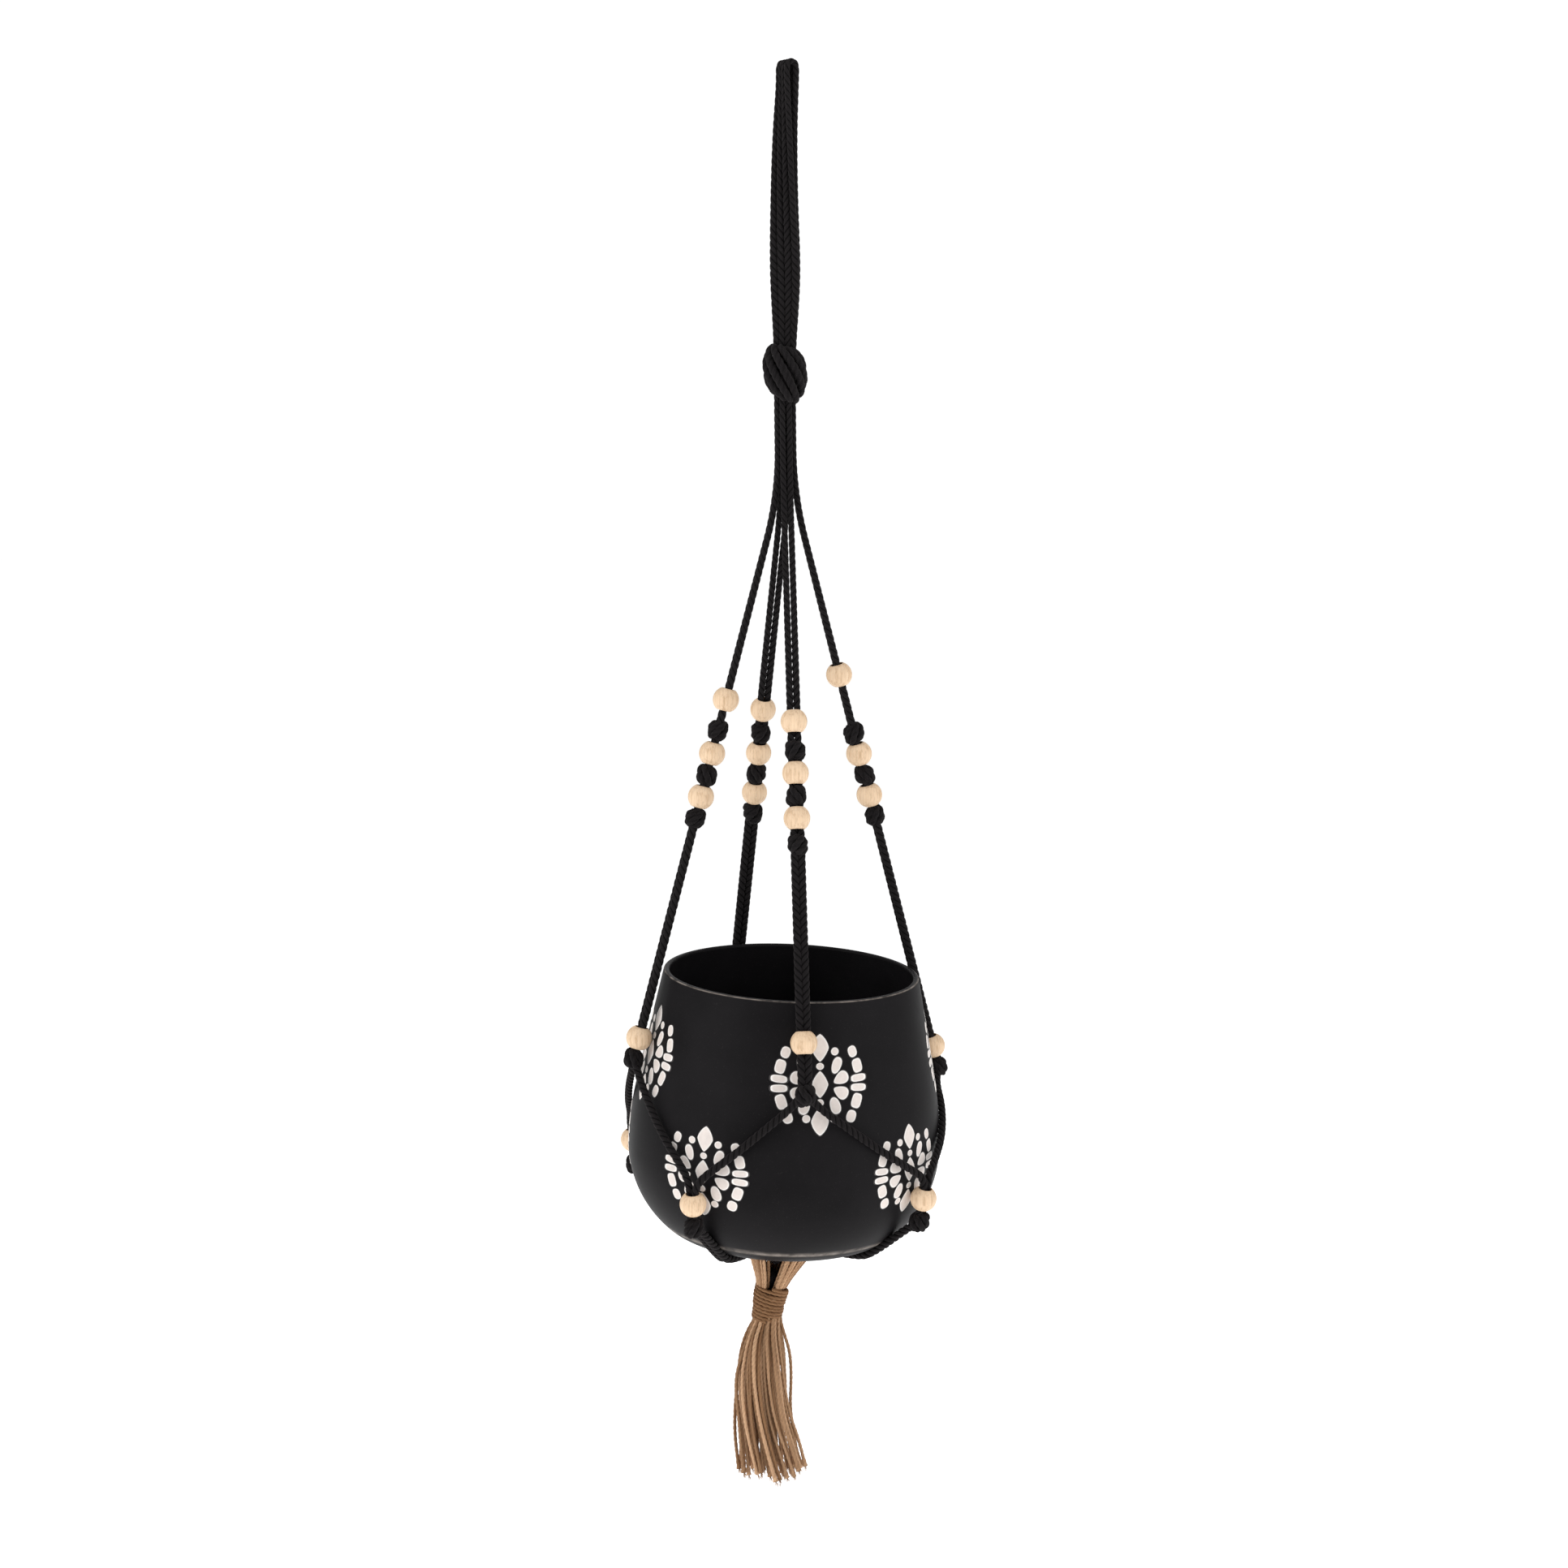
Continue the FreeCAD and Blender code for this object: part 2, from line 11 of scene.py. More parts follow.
import bpy
import numpy as np
from bpy.props import FloatProperty, FloatVectorProperty, IntProperty, PointerProperty
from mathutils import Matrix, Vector


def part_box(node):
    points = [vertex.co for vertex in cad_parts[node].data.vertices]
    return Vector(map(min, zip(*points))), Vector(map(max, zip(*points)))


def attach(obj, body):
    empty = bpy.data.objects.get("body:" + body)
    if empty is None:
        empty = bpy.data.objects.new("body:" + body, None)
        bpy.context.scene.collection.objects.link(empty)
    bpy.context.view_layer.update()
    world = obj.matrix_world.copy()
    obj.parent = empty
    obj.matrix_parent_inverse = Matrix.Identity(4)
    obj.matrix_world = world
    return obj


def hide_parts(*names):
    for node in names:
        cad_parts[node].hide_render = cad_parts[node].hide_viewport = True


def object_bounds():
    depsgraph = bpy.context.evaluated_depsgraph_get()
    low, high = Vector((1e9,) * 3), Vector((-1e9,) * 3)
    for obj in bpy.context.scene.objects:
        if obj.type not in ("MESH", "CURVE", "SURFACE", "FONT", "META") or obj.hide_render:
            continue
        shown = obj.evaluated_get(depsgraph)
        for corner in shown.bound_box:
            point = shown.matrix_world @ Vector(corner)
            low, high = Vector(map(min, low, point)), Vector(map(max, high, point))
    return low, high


bl_info = {
    "name": "Hanging Macrame Planter",
    "version": (1, 0, 0),
    "blender": (4, 5, 0),
    "location": "3D View > Sidebar > Planter",
    "description": "Builds a hanging pot in a knotted cord hanger with wooden beads and a jute tassel",
    "category": "Add Mesh",
}

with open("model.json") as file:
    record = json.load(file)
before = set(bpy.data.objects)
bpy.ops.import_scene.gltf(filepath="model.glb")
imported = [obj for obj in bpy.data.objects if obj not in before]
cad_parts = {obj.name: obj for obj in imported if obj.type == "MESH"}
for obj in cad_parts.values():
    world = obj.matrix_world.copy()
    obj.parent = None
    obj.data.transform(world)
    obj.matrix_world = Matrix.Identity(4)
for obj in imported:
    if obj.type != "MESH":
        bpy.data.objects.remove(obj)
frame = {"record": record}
CAD_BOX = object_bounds()

# Each leg of the hanger: its azimuth in the bundle, its azimuth at the rim and
# how much lower than the back leg it reaches the wall.
LEGS = {
    "left": (-83, -73, -0.0035),
    "front": (6, 5.5, -0.0045),
    "right": (97, 111.5, 0.0095),
    "back": (187, 202, 0.0),
}

LEG_BEADS = ("bead_1", "bead_2", "bead_3", "rim_bead")
LEG_KNOTS = ("knot_1", "knot_2", "knot_3", "rim_knot")

# Lower beads: azimuth, and the legs whose strands meet there. The first leg
# gives its plus strand and the second its minus strand.
LOWER = {
    "front_left": (-31, "left", "front"),
    "front_right": (55, "front", "right"),
    "back_right": (153, "right", "back"),
    "back_left": (247, "back", "left"),
}

# Eight strands between hook and main knot: height, centre x, turn of the
# stack, pitch of the stack, half gap of a cord's two sides.
BUNDLE = [
    (-0.010, 0.0, 25.0, 0.0036, 0.0027),
    (-0.038, -0.0015, 48.0, 0.0036, 0.0020),
    (-0.075, -0.0018, 68.0, 0.0039, 0.0019),
    (-0.112, -0.0012, 83.0, 0.0043, 0.0020),
    (-0.138, -0.0012, 86.0, 0.0036, 0.0018),
    (-0.153, -0.0014, 86.0, 0.0031, 0.0017),
]
# The knot exit is where the strands leave the main knot; the split is where
# the four legs part.
KNOT_EXIT_Z = -0.186
SPLIT = (-0.0007, -0.238)
SPLIT_RADIUS = 0.00435

# A strand's run over the pot's wall: share of the way round, radius, height.
DIAGONAL = [
    (0.12, 0.0916, -0.0605),
    (0.34, 0.0918, -0.0715),
    (0.60, 0.0934, -0.0850),
    (0.84, 0.0957, -0.0965),
]
# Into the lower bead: height above its centre, sideways from its axis, inward.
INTO_BEAD = [(0.0145, 0.0042, 0.0015), (0.0085, 0.00175, 0.0)]
# Under the pot, from lower knot to the gathering: radius, height.
UNDER_POT = [
    (0.0850, -0.1384),
    (0.0688, -0.1526),
    (0.0590, -0.1597),
    (0.0180, -0.1605),
    (0.0090, -0.1660),
    (0.0060, -0.1740),
]
# Cord: place in the stack, the strands on its first and second sides, and its
# length along the route.
CORDS = {
    "cord_left": (1.5, ("left", 1), ("left", -1), 1.582),
    "cord_middle_left": (0.5, ("front", -1), ("back", 1), 1.590),
    "cord_middle_right": (-0.5, ("front", 1), ("back", -1), 1.610),
    "cord_right": (-1.5, ("right", -1), ("right", 1), 1.629),
}


# ---------------------------------------------------------------- settings
def metres(name, default, description, **limits):
    """A length setting."""
    return FloatProperty(name=name, default=default, description=description, unit="LENGTH", **limits)


def part_of(name, default, most, description):
    """A setting from nothing to a largest share."""
    return FloatProperty(name=name, default=default, description=description, min=0.0, max=most,
                         subtype="FACTOR")


def degrees(name, default, description):
    """An angle setting, whose default is given in degrees."""
    return FloatProperty(name=name, default=math.radians(default), description=description, subtype="ANGLE")


def whole(name, default, least, description):
    """A whole number setting."""
    return IntProperty(name=name, default=default, description=description, min=least)


def tone(name, default, description):
    """A colour setting."""
    return FloatVectorProperty(name=name, default=default, description=description, subtype="COLOR", size=3)


class CordSettings(bpy.types.PropertyGroup):
    diameter: metres("Cord diameter", 0.0034, "Thickness of the cotton cord", min=0.001)
    twist: metres("Twist length", 0.0125, "Cord length for one full turn of its plies", min=0.002)
    plies: whole("Plies", 3, 2, "Number of plies twisted into the cord")
    groove: part_of("Groove depth", 0.27, 0.6, "Depth of the grooves between plies, as a share of the radius")
    pair_pitch: metres("Pair pitch", 0.0039, "Distance between the two strands of a leg")
    slack: part_of("Slack thickening", 0.34, 0.4, "How much thicker the cord is at the pot than at the hook")
    packing: part_of("Packed thickening", 0.28, 0.4, "How much thicker the cord is just above the main knot")
    fold_radius: metres("Fold radius", 0.003, "Half the width of a cord's fold over the hook")
    colour: tone("Cotton colour", (0.0072, 0.0062, 0.0066), "Colour of the dyed cotton")


class KnotSettings(bpy.types.PropertyGroup):
    diameter: metres("Leg knot diameter", 0.0124, "Width of the knots in the doubled cord")
    height: metres("Leg knot height", 0.0118, "Length of the knots in the doubled cord")
    main_diameter: metres("Main knot diameter", 0.0252, "Width of the knot that ties all eight strands")
    main_height: metres("Main knot height", 0.0290, "Height of the knot that ties all eight strands")


class BeadSettings(bpy.types.PropertyGroup):
    diameter: metres("Bead diameter", 0.015, "Outside diameter of a bead")
    length: metres("Bead length", 0.0126, "Length along the bore, between the flat ends")
    bore: metres("Bore", 0.0071, "Diameter of the hole for two strands")
    ease: metres("Eased edge", 0.0004, "Chamfer at the mouth of the bore")
    pale: tone("Pale wood", (0.79, 0.59, 0.40), "Colour of the wood between its grain lines")
    dark: tone("Grain", (0.64, 0.43, 0.26), "Colour of the wood's grain lines")


class PotSettings(bpy.types.PropertyGroup):
    rim_radius: metres("Rim radius", 0.074, "Outer radius at the mouth")
    belly_radius: metres("Belly radius", 0.091, "Outer radius at the widest")
    belly_depth: metres("Belly depth", 0.103, "Depth of the widest place below the rim")
    height: metres("Pot height", 0.157, "Height from foot to rim")
    flare: degrees("Wall flare", 11.4, "Slope of the straight upper wall")
    lower_curve: metres("Lower curve", 0.062, "Radius of the wall's curve below the belly")
    foot_curve: metres("Foot curve", 0.030, "Radius of the curve into the foot")
    wall: metres("Wall", 0.0035, "Thickness of the wall")
    floor: metres("Floor", 0.005, "Thickness of the floor")
    lip: metres("Lip", 0.0014, "Rounding of the lip's edges")
    glaze: tone("Ceramic colour", (0.0088, 0.0080, 0.0088), "Colour of the matt black ceramic")
    inlay: tone("Inlay colour", (0.76, 0.685, 0.64), "Colour of the pale inlaid pieces")
    medallions: whole("Medallions in a row", 5, 1, "Medallions round the pot in each of two rows")
    upper_depth: metres("Upper row", 0.0448, "Depth of the upper medallions' centres below the rim")
    lower_depth: metres("Lower row", 0.0988, "Depth of the lower medallions' centres below the rim")


class TasselSettings(bpy.types.PropertyGroup):
    yarn: metres("Yarn diameter", 0.0022, "Thickness of the jute yarn")
    twist: metres("Yarn twist", 0.0068, "Yarn length for one full turn of its plies")
    yarns: whole("Yarns", 64, 8, "Number of yarns hanging in the skirt")
    head_yarns: whole("Head yarns", 62, 8, "Number of yarns in the flared head")
    turns: whole("Winding turns", 10, 2, "Turns of yarn round the neck")
    pale: tone("Pale jute", (0.98, 0.595, 0.355), "Colour of the jute's lighter fibres")
    dark: tone("Dark jute", (0.28, 0.138, 0.066), "Colour of the jute's darker fibres")


class StageSettings(bpy.types.PropertyGroup):
    lens: FloatProperty(name="Lens", description="Focal length on a 36 mm sensor, in millimetres",
                        default=68.94)
    camera_place: FloatVectorProperty(name="Camera", description="Where the camera stands",
                                      default=(-0.0019, -1.710, -0.1563), subtype="TRANSLATION", size=3)
    camera_pitch: degrees("Camera pitch", 8.243, "How far the camera looks down")
    air_light: FloatProperty(name="Air light", description="Strength of the even light from all round",
                             default=0.24)
    floor_glow: FloatProperty(name="Floor glow", description="How strongly the lit floor shines",
                              default=0.85)
    floor_gap: metres("Floor gap", 0.42, "Height of the tassel's end above the floor")
    floor_colour: tone("Floor colour", (0.93, 0.93, 0.93), "Colour of the pale floor")


SETTINGS = {
    "planter_cords": CordSettings,
    "planter_knots": KnotSettings,
    "planter_beads": BeadSettings,
    "planter_pot": PotSettings,
    "planter_tassel": TasselSettings,
    "planter_stage": StageSettings,
}


# ---------------------------------------------------------------- places
def centre_of(node):
    """The middle of a CAD node's box."""
    low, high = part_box(node)
    return (low + high) / 2


def outward(azimuth):
    """Unit vector of an azimuth, level with the ground."""
    turn = math.radians(azimuth)
    return Vector((math.sin(turn), -math.cos(turn), 0))


def sideways(azimuth):
    """Unit vector towards growing azimuth, level with the ground."""
    turn = math.radians(azimuth)
    return Vector((math.cos(turn), math.sin(turn), 0))


POT_MOUNT = next(mount for mount in frame["record"]["mounts"] if mount["name"] == "pot_floor")
POT_UP = Vector(POT_MOUNT["axis"]).normalized()
POT_RIGHT = Vector((0, 1, 0)).cross(POT_UP).normalized()
POT_BACK = POT_UP.cross(POT_RIGHT)
PIVOT = centre_of("base_knot")


def pot_origin():
    """The centre of the pot's mouth."""
    pot = bpy.context.scene.planter_pot
    return Vector(POT_MOUNT["pos_m"]) + POT_UP * (pot.height - pot.floor)


def leaned(level):
    """A direction of the upright pot, turned into the leaning pot's frame."""
    return POT_RIGHT * level.x + POT_BACK * level.y + POT_UP * level.z


def pot_point(azimuth, radius, height):
    """A point in the leaning pot's own cylindrical frame."""
    return pot_origin() + leaned(outward(azimuth)) * radius + POT_UP * height


class LowerNode:
    """A bead and the knot beneath it, where two strands meet on the pot's wall."""

    def __init__(self, name):
        self.azimuth = LOWER[name][0]
        self.bead = centre_of(name + "_low_bead")
        self.knot = centre_of(name + "_low_knot")
        self.up = (self.bead - self.knot).normalized()
        self.side = leaned(sideways(self.azimuth))
        self.out = leaned(outward(self.azimuth))


def leg_up(leg):
    """The direction up a leg, along its straight doubled cord."""
    return (centre_of(leg + "_bead_1") - centre_of(leg + "_knot_3")).normalized()


# ---------------------------------------------------------------- cord routes
def bundle_points(stack, side):
    """A strand's points from the fold down to the main knot."""
    points = []
    for height, centre, turn, pitch, gap in BUNDLE:
        angle = math.radians(turn)
        across = Vector((math.cos(angle), math.sin(angle), 0))
        stacked = Vector((-math.sin(angle), math.cos(angle), 0))
        points.append(Vector((centre, 0, height)) + stacked * (stack * pitch) + across * (side * gap))
    return points


def lower_node_of(leg, sign):
    """The lower node that a leg's plus or minus strand runs to."""
    for name, (_azimuth, plus_leg, minus_leg) in LOWER.items():
        if leg == (plus_leg if sign > 0 else minus_leg):
            return LowerNode(name)
    raise ValueError("no lower node for leg " + leg)


def steadied(corner, far_end, near_end):
    """The extra point on a long straight stretch, as far from its corner as the next point is."""
    return corner + (far_end - corner).normalized() * (near_end - corner).length


def strand_points(leg, sign):
    """A strand's points from below the main knot to the gathering under the pot."""
    bundle_azimuth, rim_azimuth, sink = LEGS[leg]
    half = bpy.context.scene.planter_cords.pair_pitch / 2
    bundle_side = sideways(bundle_azimuth) * (sign * half)
    from_axis = outward(bundle_azimuth) * SPLIT_RADIUS + bundle_side
    knot_exit = Vector((centre_of("main_knot").x, 0, KNOT_EXIT_Z)) + from_axis
    split = Vector((SPLIT[0], 0, SPLIT[1])) + from_axis
    rim = centre_of(leg + "_rim_knot") + leaned(sideways(rim_azimuth)) * (sign * half)
    node = lower_node_of(leg, sign)
    way_round = (node.azimuth - rim_azimuth + 180) % 360 - 180
    diagonal = []
    for share, radius, height in DIAGONAL:
        diagonal.append(pot_point(rim_azimuth + way_round * share, radius, height - sink * (1 - share)))
    entry = []
    for height, beside, inward in INTO_BEAD:
        entry.append(node.bead + node.up * height - node.side * (sign * beside) - node.out * inward)
    knot = node.knot - node.side * (sign * half)
    under = []
    for radius, height in UNDER_POT:
        under.append(pot_point(node.azimuth, radius, height) - node.side * (sign * half))
    points = [knot_exit, split, steadied(split, rim, knot_exit), steadied(rim, split, diagonal[0]), rim]
    points += diagonal + entry + [steadied(entry[1], knot, entry[0]), knot] + under
    return points


def fold_points(stack):
    """The three points that carry a cord over the hook."""
    cords = bpy.context.scene.planter_cords
    _height, centre, turn, pitch, _gap = BUNDLE[0]
    angle = math.radians(turn)
    across = Vector((math.cos(angle), math.sin(angle), 0))
    stacked = Vector((-math.sin(angle), math.cos(angle), 0)) * (stack * pitch)
    fold = cords.fold_radius
    crown = fold * 2 / math.sqrt(3)
    # the inside of the fold's top touches the hook at z = 0
    arc_top = crown - 0.9 * fold * (2 / math.sqrt(3) - 1)
    middle = Vector((centre, 0, cords.diameter / 2 - arc_top)) + stacked
    shoulder = Vector((0, 0, crown / 2))
    top = middle + Vector((0, 0, crown))
    return [middle - across * fold + shoulder, top, middle + across * fold + shoulder]


def cord_route(name):
    """All the points of one folded cord, from gathering to gathering."""
    stack, first, second, _length = CORDS[name]
    down_first = bundle_points(stack, -1) + strand_points(*first)
    down_second = bundle_points(stack, 1) + strand_points(*second)
    return down_first[::-1] + fold_points(stack) + down_second


def smooth_line(name, points):
    """The points that a smooth NURBS line through a route's control points passes."""
    curve = bpy.data.curves.new(name, "CURVE")
    curve.dimensions = "3D"
    curve.resolution_u = 14
    spline = curve.splines.new("NURBS")
    spline.points.add(len(points) - 1)
    for control, place in zip(spline.points, points):
        control.co = (*place, 1)
    spline.order_u = 3
    spline.use_endpoint_u = True
    holder = bpy.data.objects.new(name, curve)
    mesh = bpy.data.meshes.new_from_object(holder)
    line = np.array([vertex.co for vertex in mesh.vertices])
    bpy.data.objects.remove(holder)
    bpy.data.curves.remove(curve)
    bpy.data.meshes.remove(mesh)
    return line


# ---------------------------------------------------------------- mesh making
def evenly(line, step):
    """A line's points again at even steps, with each one's distance along it."""
    line = np.asarray(line, dtype=float)
    travelled = np.concatenate([[0], np.cumsum(np.linalg.norm(np.diff(line, axis=0), axis=1))])
    count = max(3, int(round(travelled[-1] / step)) + 1)
    along = np.linspace(0, travelled[-1], count)
    return np.stack([np.interp(along, travelled, line[:, axis]) for axis in range(3)], axis=1), along


def carried_frames(line):
    """Two directions across a line at each of its points, carried along without twist."""
    tangents = np.gradient(line, axis=0)
    tangents /= np.linalg.norm(tangents, axis=1)[:, None]
    first = tangents[0]
    helper = np.array([0.0, 0.0, 1.0]) if abs(first[2]) < 0.8 else np.array([1.0, 0.0, 0.0])
    normal = np.cross(first, helper)
    normals = []
    for tangent in tangents:
        normal = normal - tangent * normal.dot(tangent)
        normal = normal / np.linalg.norm(normal)
        normals.append(normal)
    normals = np.array(normals)
    return normals, np.cross(tangents, normals)


class Surface:
    """Collects tubes and rings into one mesh.

    Every vertex carries where it lies along and round its yarn, how deep it is
    in a groove, and a tint for its yarn.
    """

    def __init__(self):
        self.places = []
        self.faces = []
        self.lay = []
        self.groove = []
        self.tint = []
        self.count = 0

    def add(self, places, faces, lay, groove, tint):
        """Adds vertices with their values, and faces that count from them."""
        self.places.append(places)
        self.faces += [tuple(corner + self.count for corner in face) for face in faces]
        self.lay.append(lay)
        self.groove.append(groove)
        self.tint.append(tint)
        self.count += len(places)

    def add_rings(self, rings, along, angles, groove, tint, capped=True):
        """Joins rings of vertices into a tube, closed at both ends if capped."""
        rows, columns = rings.shape[:2]
        faces = []
        for row in range(rows - 1):
            start = row * columns
            for column in range(columns):
                after = (column + 1) % columns
                above = start + columns
                faces.append((start + column, start + after, above + after, above + column))
        if capped:
            last = (rows - 1) * columns
            faces.append(tuple(range(columns))[::-1])
            faces.append(tuple(range(last, last + columns)))
        lay = np.zeros((rows, columns, 3))
        lay[:, :, 0] = np.asarray(along)[:, None]
        lay[:, :, 1] = np.cos(angles)[None, :]
        lay[:, :, 2] = np.sin(angles)[None, :]
        depth = np.broadcast_to(groove, (rows, columns)).reshape(-1)
        self.add(rings.reshape(-1, 3), faces, lay.reshape(-1, 3), depth, np.full(rows * columns, tint))

    def add_rope(self, line, radius, plies, twist, groove, sides, step, tint=0.5, hand=1.0, swell=None):
        """A twisted cord or yarn along a line.

        swell gives its thickness from the share of the way and the places.
        """
        line, along = evenly(line, step)
        normals, sides_across = carried_frames(line)
        angles = np.arange(sides) * (2 * math.pi / sides)
        crest = np.abs(np.cos(plies * angles / 2)) ** 0.5
        outline = radius * (1 - groove * (1 - crest))
        turn = hand * 2 * math.pi * along / twist + tint * 9.0
        thickness = np.ones(len(along)) if swell is None else swell(along / along[-1], line)
        turned = angles[None, :] + turn[:, None]
        reach = outline[None, :] * thickness[:, None]
        rings = line[:, None, :] + normals[:, None, :] * (reach * np.cos(turned))[:, :, None]
        rings = rings + sides_across[:, None, :] * (reach * np.sin(turned))[:, :, None]
        self.add_rings(rings, along, angles, (1 - crest)[None, :], tint)
        return line

    def piece(self, name, look, node, replaces=True):
        """The finished mesh object, riding on a CAD node's body and, as a rule, standing for that node."""
        mesh = bpy.data.meshes.new(name)
        mesh.from_pydata(np.concatenate(self.places).tolist(), [], self.faces)
        for label, kind, values in (("lay", "FLOAT_VECTOR", self.lay), ("groove", "FLOAT", self.groove),
                                    ("tint", "FLOAT", self.tint)):
            layer = mesh.attributes.new(label, kind, "POINT")
            flat = np.concatenate(values).astype(np.float32).ravel()
            layer.data.foreach_set("vector" if kind == "FLOAT_VECTOR" else "value", flat)
        mesh.shade_smooth()
        mesh.materials.append(finish(look))
        made = bpy.data.objects.new(name, mesh)
        bpy.context.scene.collection.objects.link(made)
        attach(made, body_of(node))
        if replaces:
            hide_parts(node)
        return made


def body_of(node):
    """The body that a CAD node belongs to."""
    for body, members in frame["record"]["behaviour"]["bodies"].items():
        if node in members:
            return body
    raise ValueError("no body holds " + node)


# ---------------------------------------------------------------- finishes
class Finish:
    """A procedural material under construction."""

    def __init__(self, name):
        self.material = bpy.data.materials.new(name)
        self.material.use_nodes = True
        self.tree = self.material.node_tree
        self.tree.nodes.clear()
        self.shader = self.node("ShaderNodeBsdfPrincipled")
        output = self.node("ShaderNodeOutputMaterial")
        self.tree.links.new(self.shader.outputs["BSDF"], output.inputs["Surface"])

    def node(self, kind, **values):
        """A new node, with its inputs set or linked by name."""
        made = self.tree.nodes.new(kind)
        for name, value in values.items():
            self.feed(made.inputs[name.replace("_", " ")], value)
        return made

    def feed(self, socket, value):
        """Sets a socket, or links it where the value is another node's output."""
        if isinstance(value, bpy.types.NodeSocket):
            self.tree.links.new(value, socket)
        else:
            socket.default_value = value

    def attribute(self, name):
        """A vertex value of the mesh."""
        made = self.node("ShaderNodeAttribute")
        made.attribute_name = name
        return made

    def scaled(self, vector, scale):
        """A vector stretched along its three axes."""
        made = self.node("ShaderNodeVectorMath")
        made.operation = "MULTIPLY"
        self.feed(made.inputs[0], vector)
        made.inputs[1].default_value = scale
        return made.outputs[0]

    def noise(self, vector, scale, detail=3.0, roughness=0.55):
        """Cloudy variation from 0 to 1."""
        made = self.node("ShaderNodeTexNoise", Vector=vector, Scale=scale, Detail=detail,
                         Roughness=roughness)
        return made.outputs["Fac"]

    def ramp(self, factor, *stops):
        """Colours or greys blended by a factor; each stop is (place, colour)."""
        made = self.node("ShaderNodeValToRGB", Fac=factor)
        ramp = made.color_ramp
        while len(ramp.elements) < len(stops):
            ramp.elements.new(0.5)
        for element, (place, colour) in zip(ramp.elements, stops):
            element.position = place
            element.color = (colour, colour, colour, 1.0) if isinstance(colour, float) else (*colour, 1.0)
        return made.outputs["Color"]

    def math(self, operation, first, second=0.0):
        """Arithmetic on two values."""
        made = self.node("ShaderNodeMath")
        made.operation = operation
        self.feed(made.inputs[0], first)
        self.feed(made.inputs[1], second)
        return made.outputs[0]

    def mixed(self, factor, first, second, blend="MIX"):
        """Two colours mixed by a factor."""
        made = self.node("ShaderNodeMix")
        made.data_type = "RGBA"
        made.blend_type = blend
        for socket, value in ((made.inputs[0], factor), (made.inputs[6], first), (made.inputs[7], second)):
            self.feed(socket, value)
        return made.outputs[2]

    def bump(self, height, distance, strength=1.0):
        """Feeds fine relief to the shader."""
        made = self.node("ShaderNodeBump", Height=height, Distance=distance, Strength=strength)
        self.feed(self.shader.inputs["Normal"], made.outputs["Normal"])

    def set(self, **values):
        """Sets or links the shader's own sockets."""
        for name, value in values.items():
            self.feed(self.shader.inputs[name.replace("_", " ")], value)
        return self.material


def shade(colour, factor):
    """A colour made lighter or darker."""
    return tuple(min(1.0, part * factor) for part in colour)


def cotton_finish():
    """Dyed cotton cord: fine fibres laid along twisted plies, painted shade in the grooves between them, a
    soft nap and dull highlights.
    """
    colour = tuple(bpy.context.scene.planter_cords.colour)
    cotton = Finish("black_cotton_cord")
    lay = cotton.attribute("lay").outputs["Vector"]
    fibres = cotton.noise(cotton.scaled(lay, (900.0, 7.0, 7.0)), 1.0, detail=4.0, roughness=0.7)
    threads = cotton.noise(cotton.scaled(lay, (260.0, 3.2, 3.2)), 1.0, detail=2.0)
    place = cotton.node("ShaderNodeTexCoord").outputs["Object"]
    patches = cotton.noise(place, 60.0)
    base = cotton.ramp(fibres, (0.28, shade(colour, 0.45)), (0.56, shade(colour, 1.6)),
                       (0.80, shade(colour, 6.0)))
    base = cotton.mixed(patches, base, (*shade(colour, 1.4), 1.0))
    groove = cotton.attribute("groove").outputs["Fac"]
    # painted shade: the cord is darkened in the grooves between its plies
    deep = cotton.ramp(groove, (0.18, 1.0), (0.85, 0.10))
    base = cotton.mixed(1.0, base, deep, "MULTIPLY")
    height = cotton.math("ADD", cotton.math("MULTIPLY", fibres, 0.6), cotton.math("MULTIPLY", threads, 0.9))
    cotton.bump(height, 0.00022, 0.8)
    return cotton.set(Base_Color=base, Roughness=cotton.ramp(patches, (0.3, 0.82), (0.7, 0.96)),
                      Sheen_Weight=cotton.ramp(groove, (0.2, 0.10), (0.8, 0.01)), Sheen_Roughness=0.5,
                      Sheen_Tint=(0.55, 0.5, 0.5, 1.0), Specular_IOR_Level=0.10)


